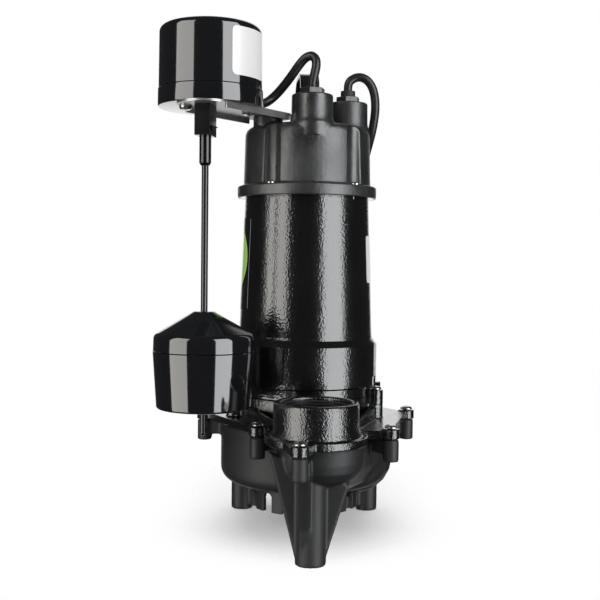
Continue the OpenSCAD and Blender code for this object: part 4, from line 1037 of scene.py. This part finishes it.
class PUMP_OT_labels(bpy.types.Operator):
    """Sticks the plain labels on the can and the motor"""

    bl_idname = "pump.labels"
    bl_label = "Blank labels"

    def execute(self, context):
        r = (CASE_HIGH[0] - CASE_LOW[0]) / 2 + LABEL_LIFT
        wrapped_label("can_label", CAN, r, (CASE_LOW[2] + CAN_LABEL_FOOT, CASE_HIGH[2] - CAN_LABEL_TOP),
                      CAN_LABEL_ANGLES, "blank_label", CAN_TAPER, corner=0.004)
        r = barrel_radius(SIDE_LABEL_LOW) + LABEL_LIFT
        turn = math.degrees(SIDE_LABEL_WIDE / 2 / r)
        wrapped_label("side_label", AXIS, r, (SIDE_LABEL_LOW, SIDE_LABEL_LOW + SIDE_LABEL_TALL),
                      (180 - turn, 180 + turn), "green_disc_label", BARREL_TAPER)
        r = barrel_radius(PLATE_LOW) + LABEL_LIFT
        wrapped_label("plate_label", AXIS, r, (PLATE_LOW, PLATE_HIGH), PLATE_ANGLES,
                      "blank_label", BARREL_TAPER)
        return {"FINISHED"}


class PUMP_OT_float(bpy.types.Operator):
    """Turns the two halves of the gloss float"""

    bl_idname = "pump.float"
    bl_label = "Float"

    def execute(self, context):
        low, high = LOWER_LOW, LOWER_HIGH
        wide = (high[0] - low[0]) / 2
        base = wide - FLOAT_TAPER
        bottom = low[2]
        profile = [(FLOAT_BORE, bottom + POCKET_DEEP), (POCKET_R, bottom + POCKET_DEEP), (POCKET_R, bottom)]
        profile += arc(base - FLOAT_EDGE, bottom + FLOAT_EDGE, FLOAT_EDGE, -90, -4, 8)
        profile += [(wide - inward, high[2] - down) for inward, down in LOWER_RIM]
        profile += [(FLOAT_BORE, high[2])]
        lower = turned("float_bottom", ROD, profile)
        dress(lower, bpy.data.materials["gloss_plastic"])
        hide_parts("float_lower")
        low, high = UPPER_LOW, UPPER_HIGH
        wide = (high[0] - low[0]) / 2
        shoulder = high[2] - FLOAT_CONE
        profile = [(FLOAT_BORE, low[2])]
        profile += [(wide - inward, low[2] + up) for inward, up in UPPER_RIM]
        profile += [(wide - WALL_TOP_IN, shoulder - WALL_TOP_DOWN)]
        profile += arc(wide - SHOULDER_IN, shoulder - SHOULDER_DOWN, SHOULDER_R, 6, 60, 10)
        profile += [(radius, high[2] - down) for radius, down in FLOAT_TIP]
        profile += [(FLOAT_BORE, high[2])]
        upper = turned("float_top", ROD, profile)
        dress(upper, bpy.data.materials["gloss_plastic"])
        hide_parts("float_upper")
        for piece in (lower, upper):
            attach(piece, "float")
        return {"FINISHED"}


# Broken edges: node, name, width of the bevel, finish and slot, and the bevel's own finish where it has one
EDGES = (
    ("switch_bracket", "bevelled_bracket", 0.00035, "rolled_sheet", "dark_sheet", "bare_edge"),
    ("lift_handle", "bevelled_handle", 0.0005, "black_strap", "dark_sheet"),
    ("switch_gland_nut", "bevelled_switch_nut", 0.0005, "grey_moulding", "grey_plastic"),
    ("power_gland_nut", "bevelled_supply_nut", 0.0005, "grey_moulding", "grey_plastic"),
    ("rod_guide", "bevelled_guide", 0.0005, "black_moulding", "black_gloss"),
)


class PUMP_OT_edges(bpy.types.Operator):
    """Breaks the sharp edges of the sheet bracket, the strap handle and the small mouldings"""

    bl_idname = "pump.edges"
    bl_label = "Broken edges"

    def execute(self, context):
        for row in EDGES:
            bevelled(*row)
        return {"FINISHED"}


class PUMP_OT_finishes(bpy.types.Operator):
    """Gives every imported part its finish"""

    bl_idname = "pump.finishes"
    bl_label = "Finishes"

    def execute(self, context):
        make_finishes()
        for finish_name, names in FINISH_NODES.items():
            for name in names:
                dress(NODES[name], bpy.data.materials[finish_name])
        return {"FINISHED"}


class PUMP_PT_panel(bpy.types.Panel):
    """Lists the pump's steps, sizes and colours"""

    bl_label = "Sump pump"
    bl_idname = "PUMP_PT_panel"
    bl_space_type = "VIEW_3D"
    bl_region_type = "UI"
    bl_category = "Sump pump"

    def draw(self, context):
        layout = self.layout
        for step in STEPS:
            layout.operator(step.bl_idname)
        for holder in (sizes(), colours()):
            box = layout.box()
            for name in holder.__annotations__:
                box.prop(holder, name)


STEPS = (
    PUMP_OT_finishes, PUMP_OT_stage, PUMP_OT_cords, PUMP_OT_castings, PUMP_OT_threads, PUMP_OT_switch_can,
    PUMP_OT_labels, PUMP_OT_float, PUMP_OT_edges,
)
CLASSES = (PumpSizes, PumpColours, *STEPS, PUMP_PT_panel)


def register():
    for cls in CLASSES:
        bpy.utils.register_class(cls)
    bpy.types.Scene.pump_sizes = PointerProperty(type=PumpSizes)
    bpy.types.Scene.pump_colours = PointerProperty(type=PumpColours)


def unregister():
    del bpy.types.Scene.pump_colours
    del bpy.types.Scene.pump_sizes
    for cls in reversed(CLASSES):
        bpy.utils.unregister_class(cls)


def main():
    """Dresses the pump."""
    register()
    bpy.ops.pump.finishes()
    bpy.ops.pump.stage()
    bpy.ops.pump.cords()
    bpy.ops.pump.castings()
    bpy.ops.pump.threads()
    bpy.ops.pump.switch_can()
    bpy.ops.pump.labels()
    bpy.ops.pump.float()
    bpy.ops.pump.edges()
    clear_selection()


if __name__ == "__main__":
    main()
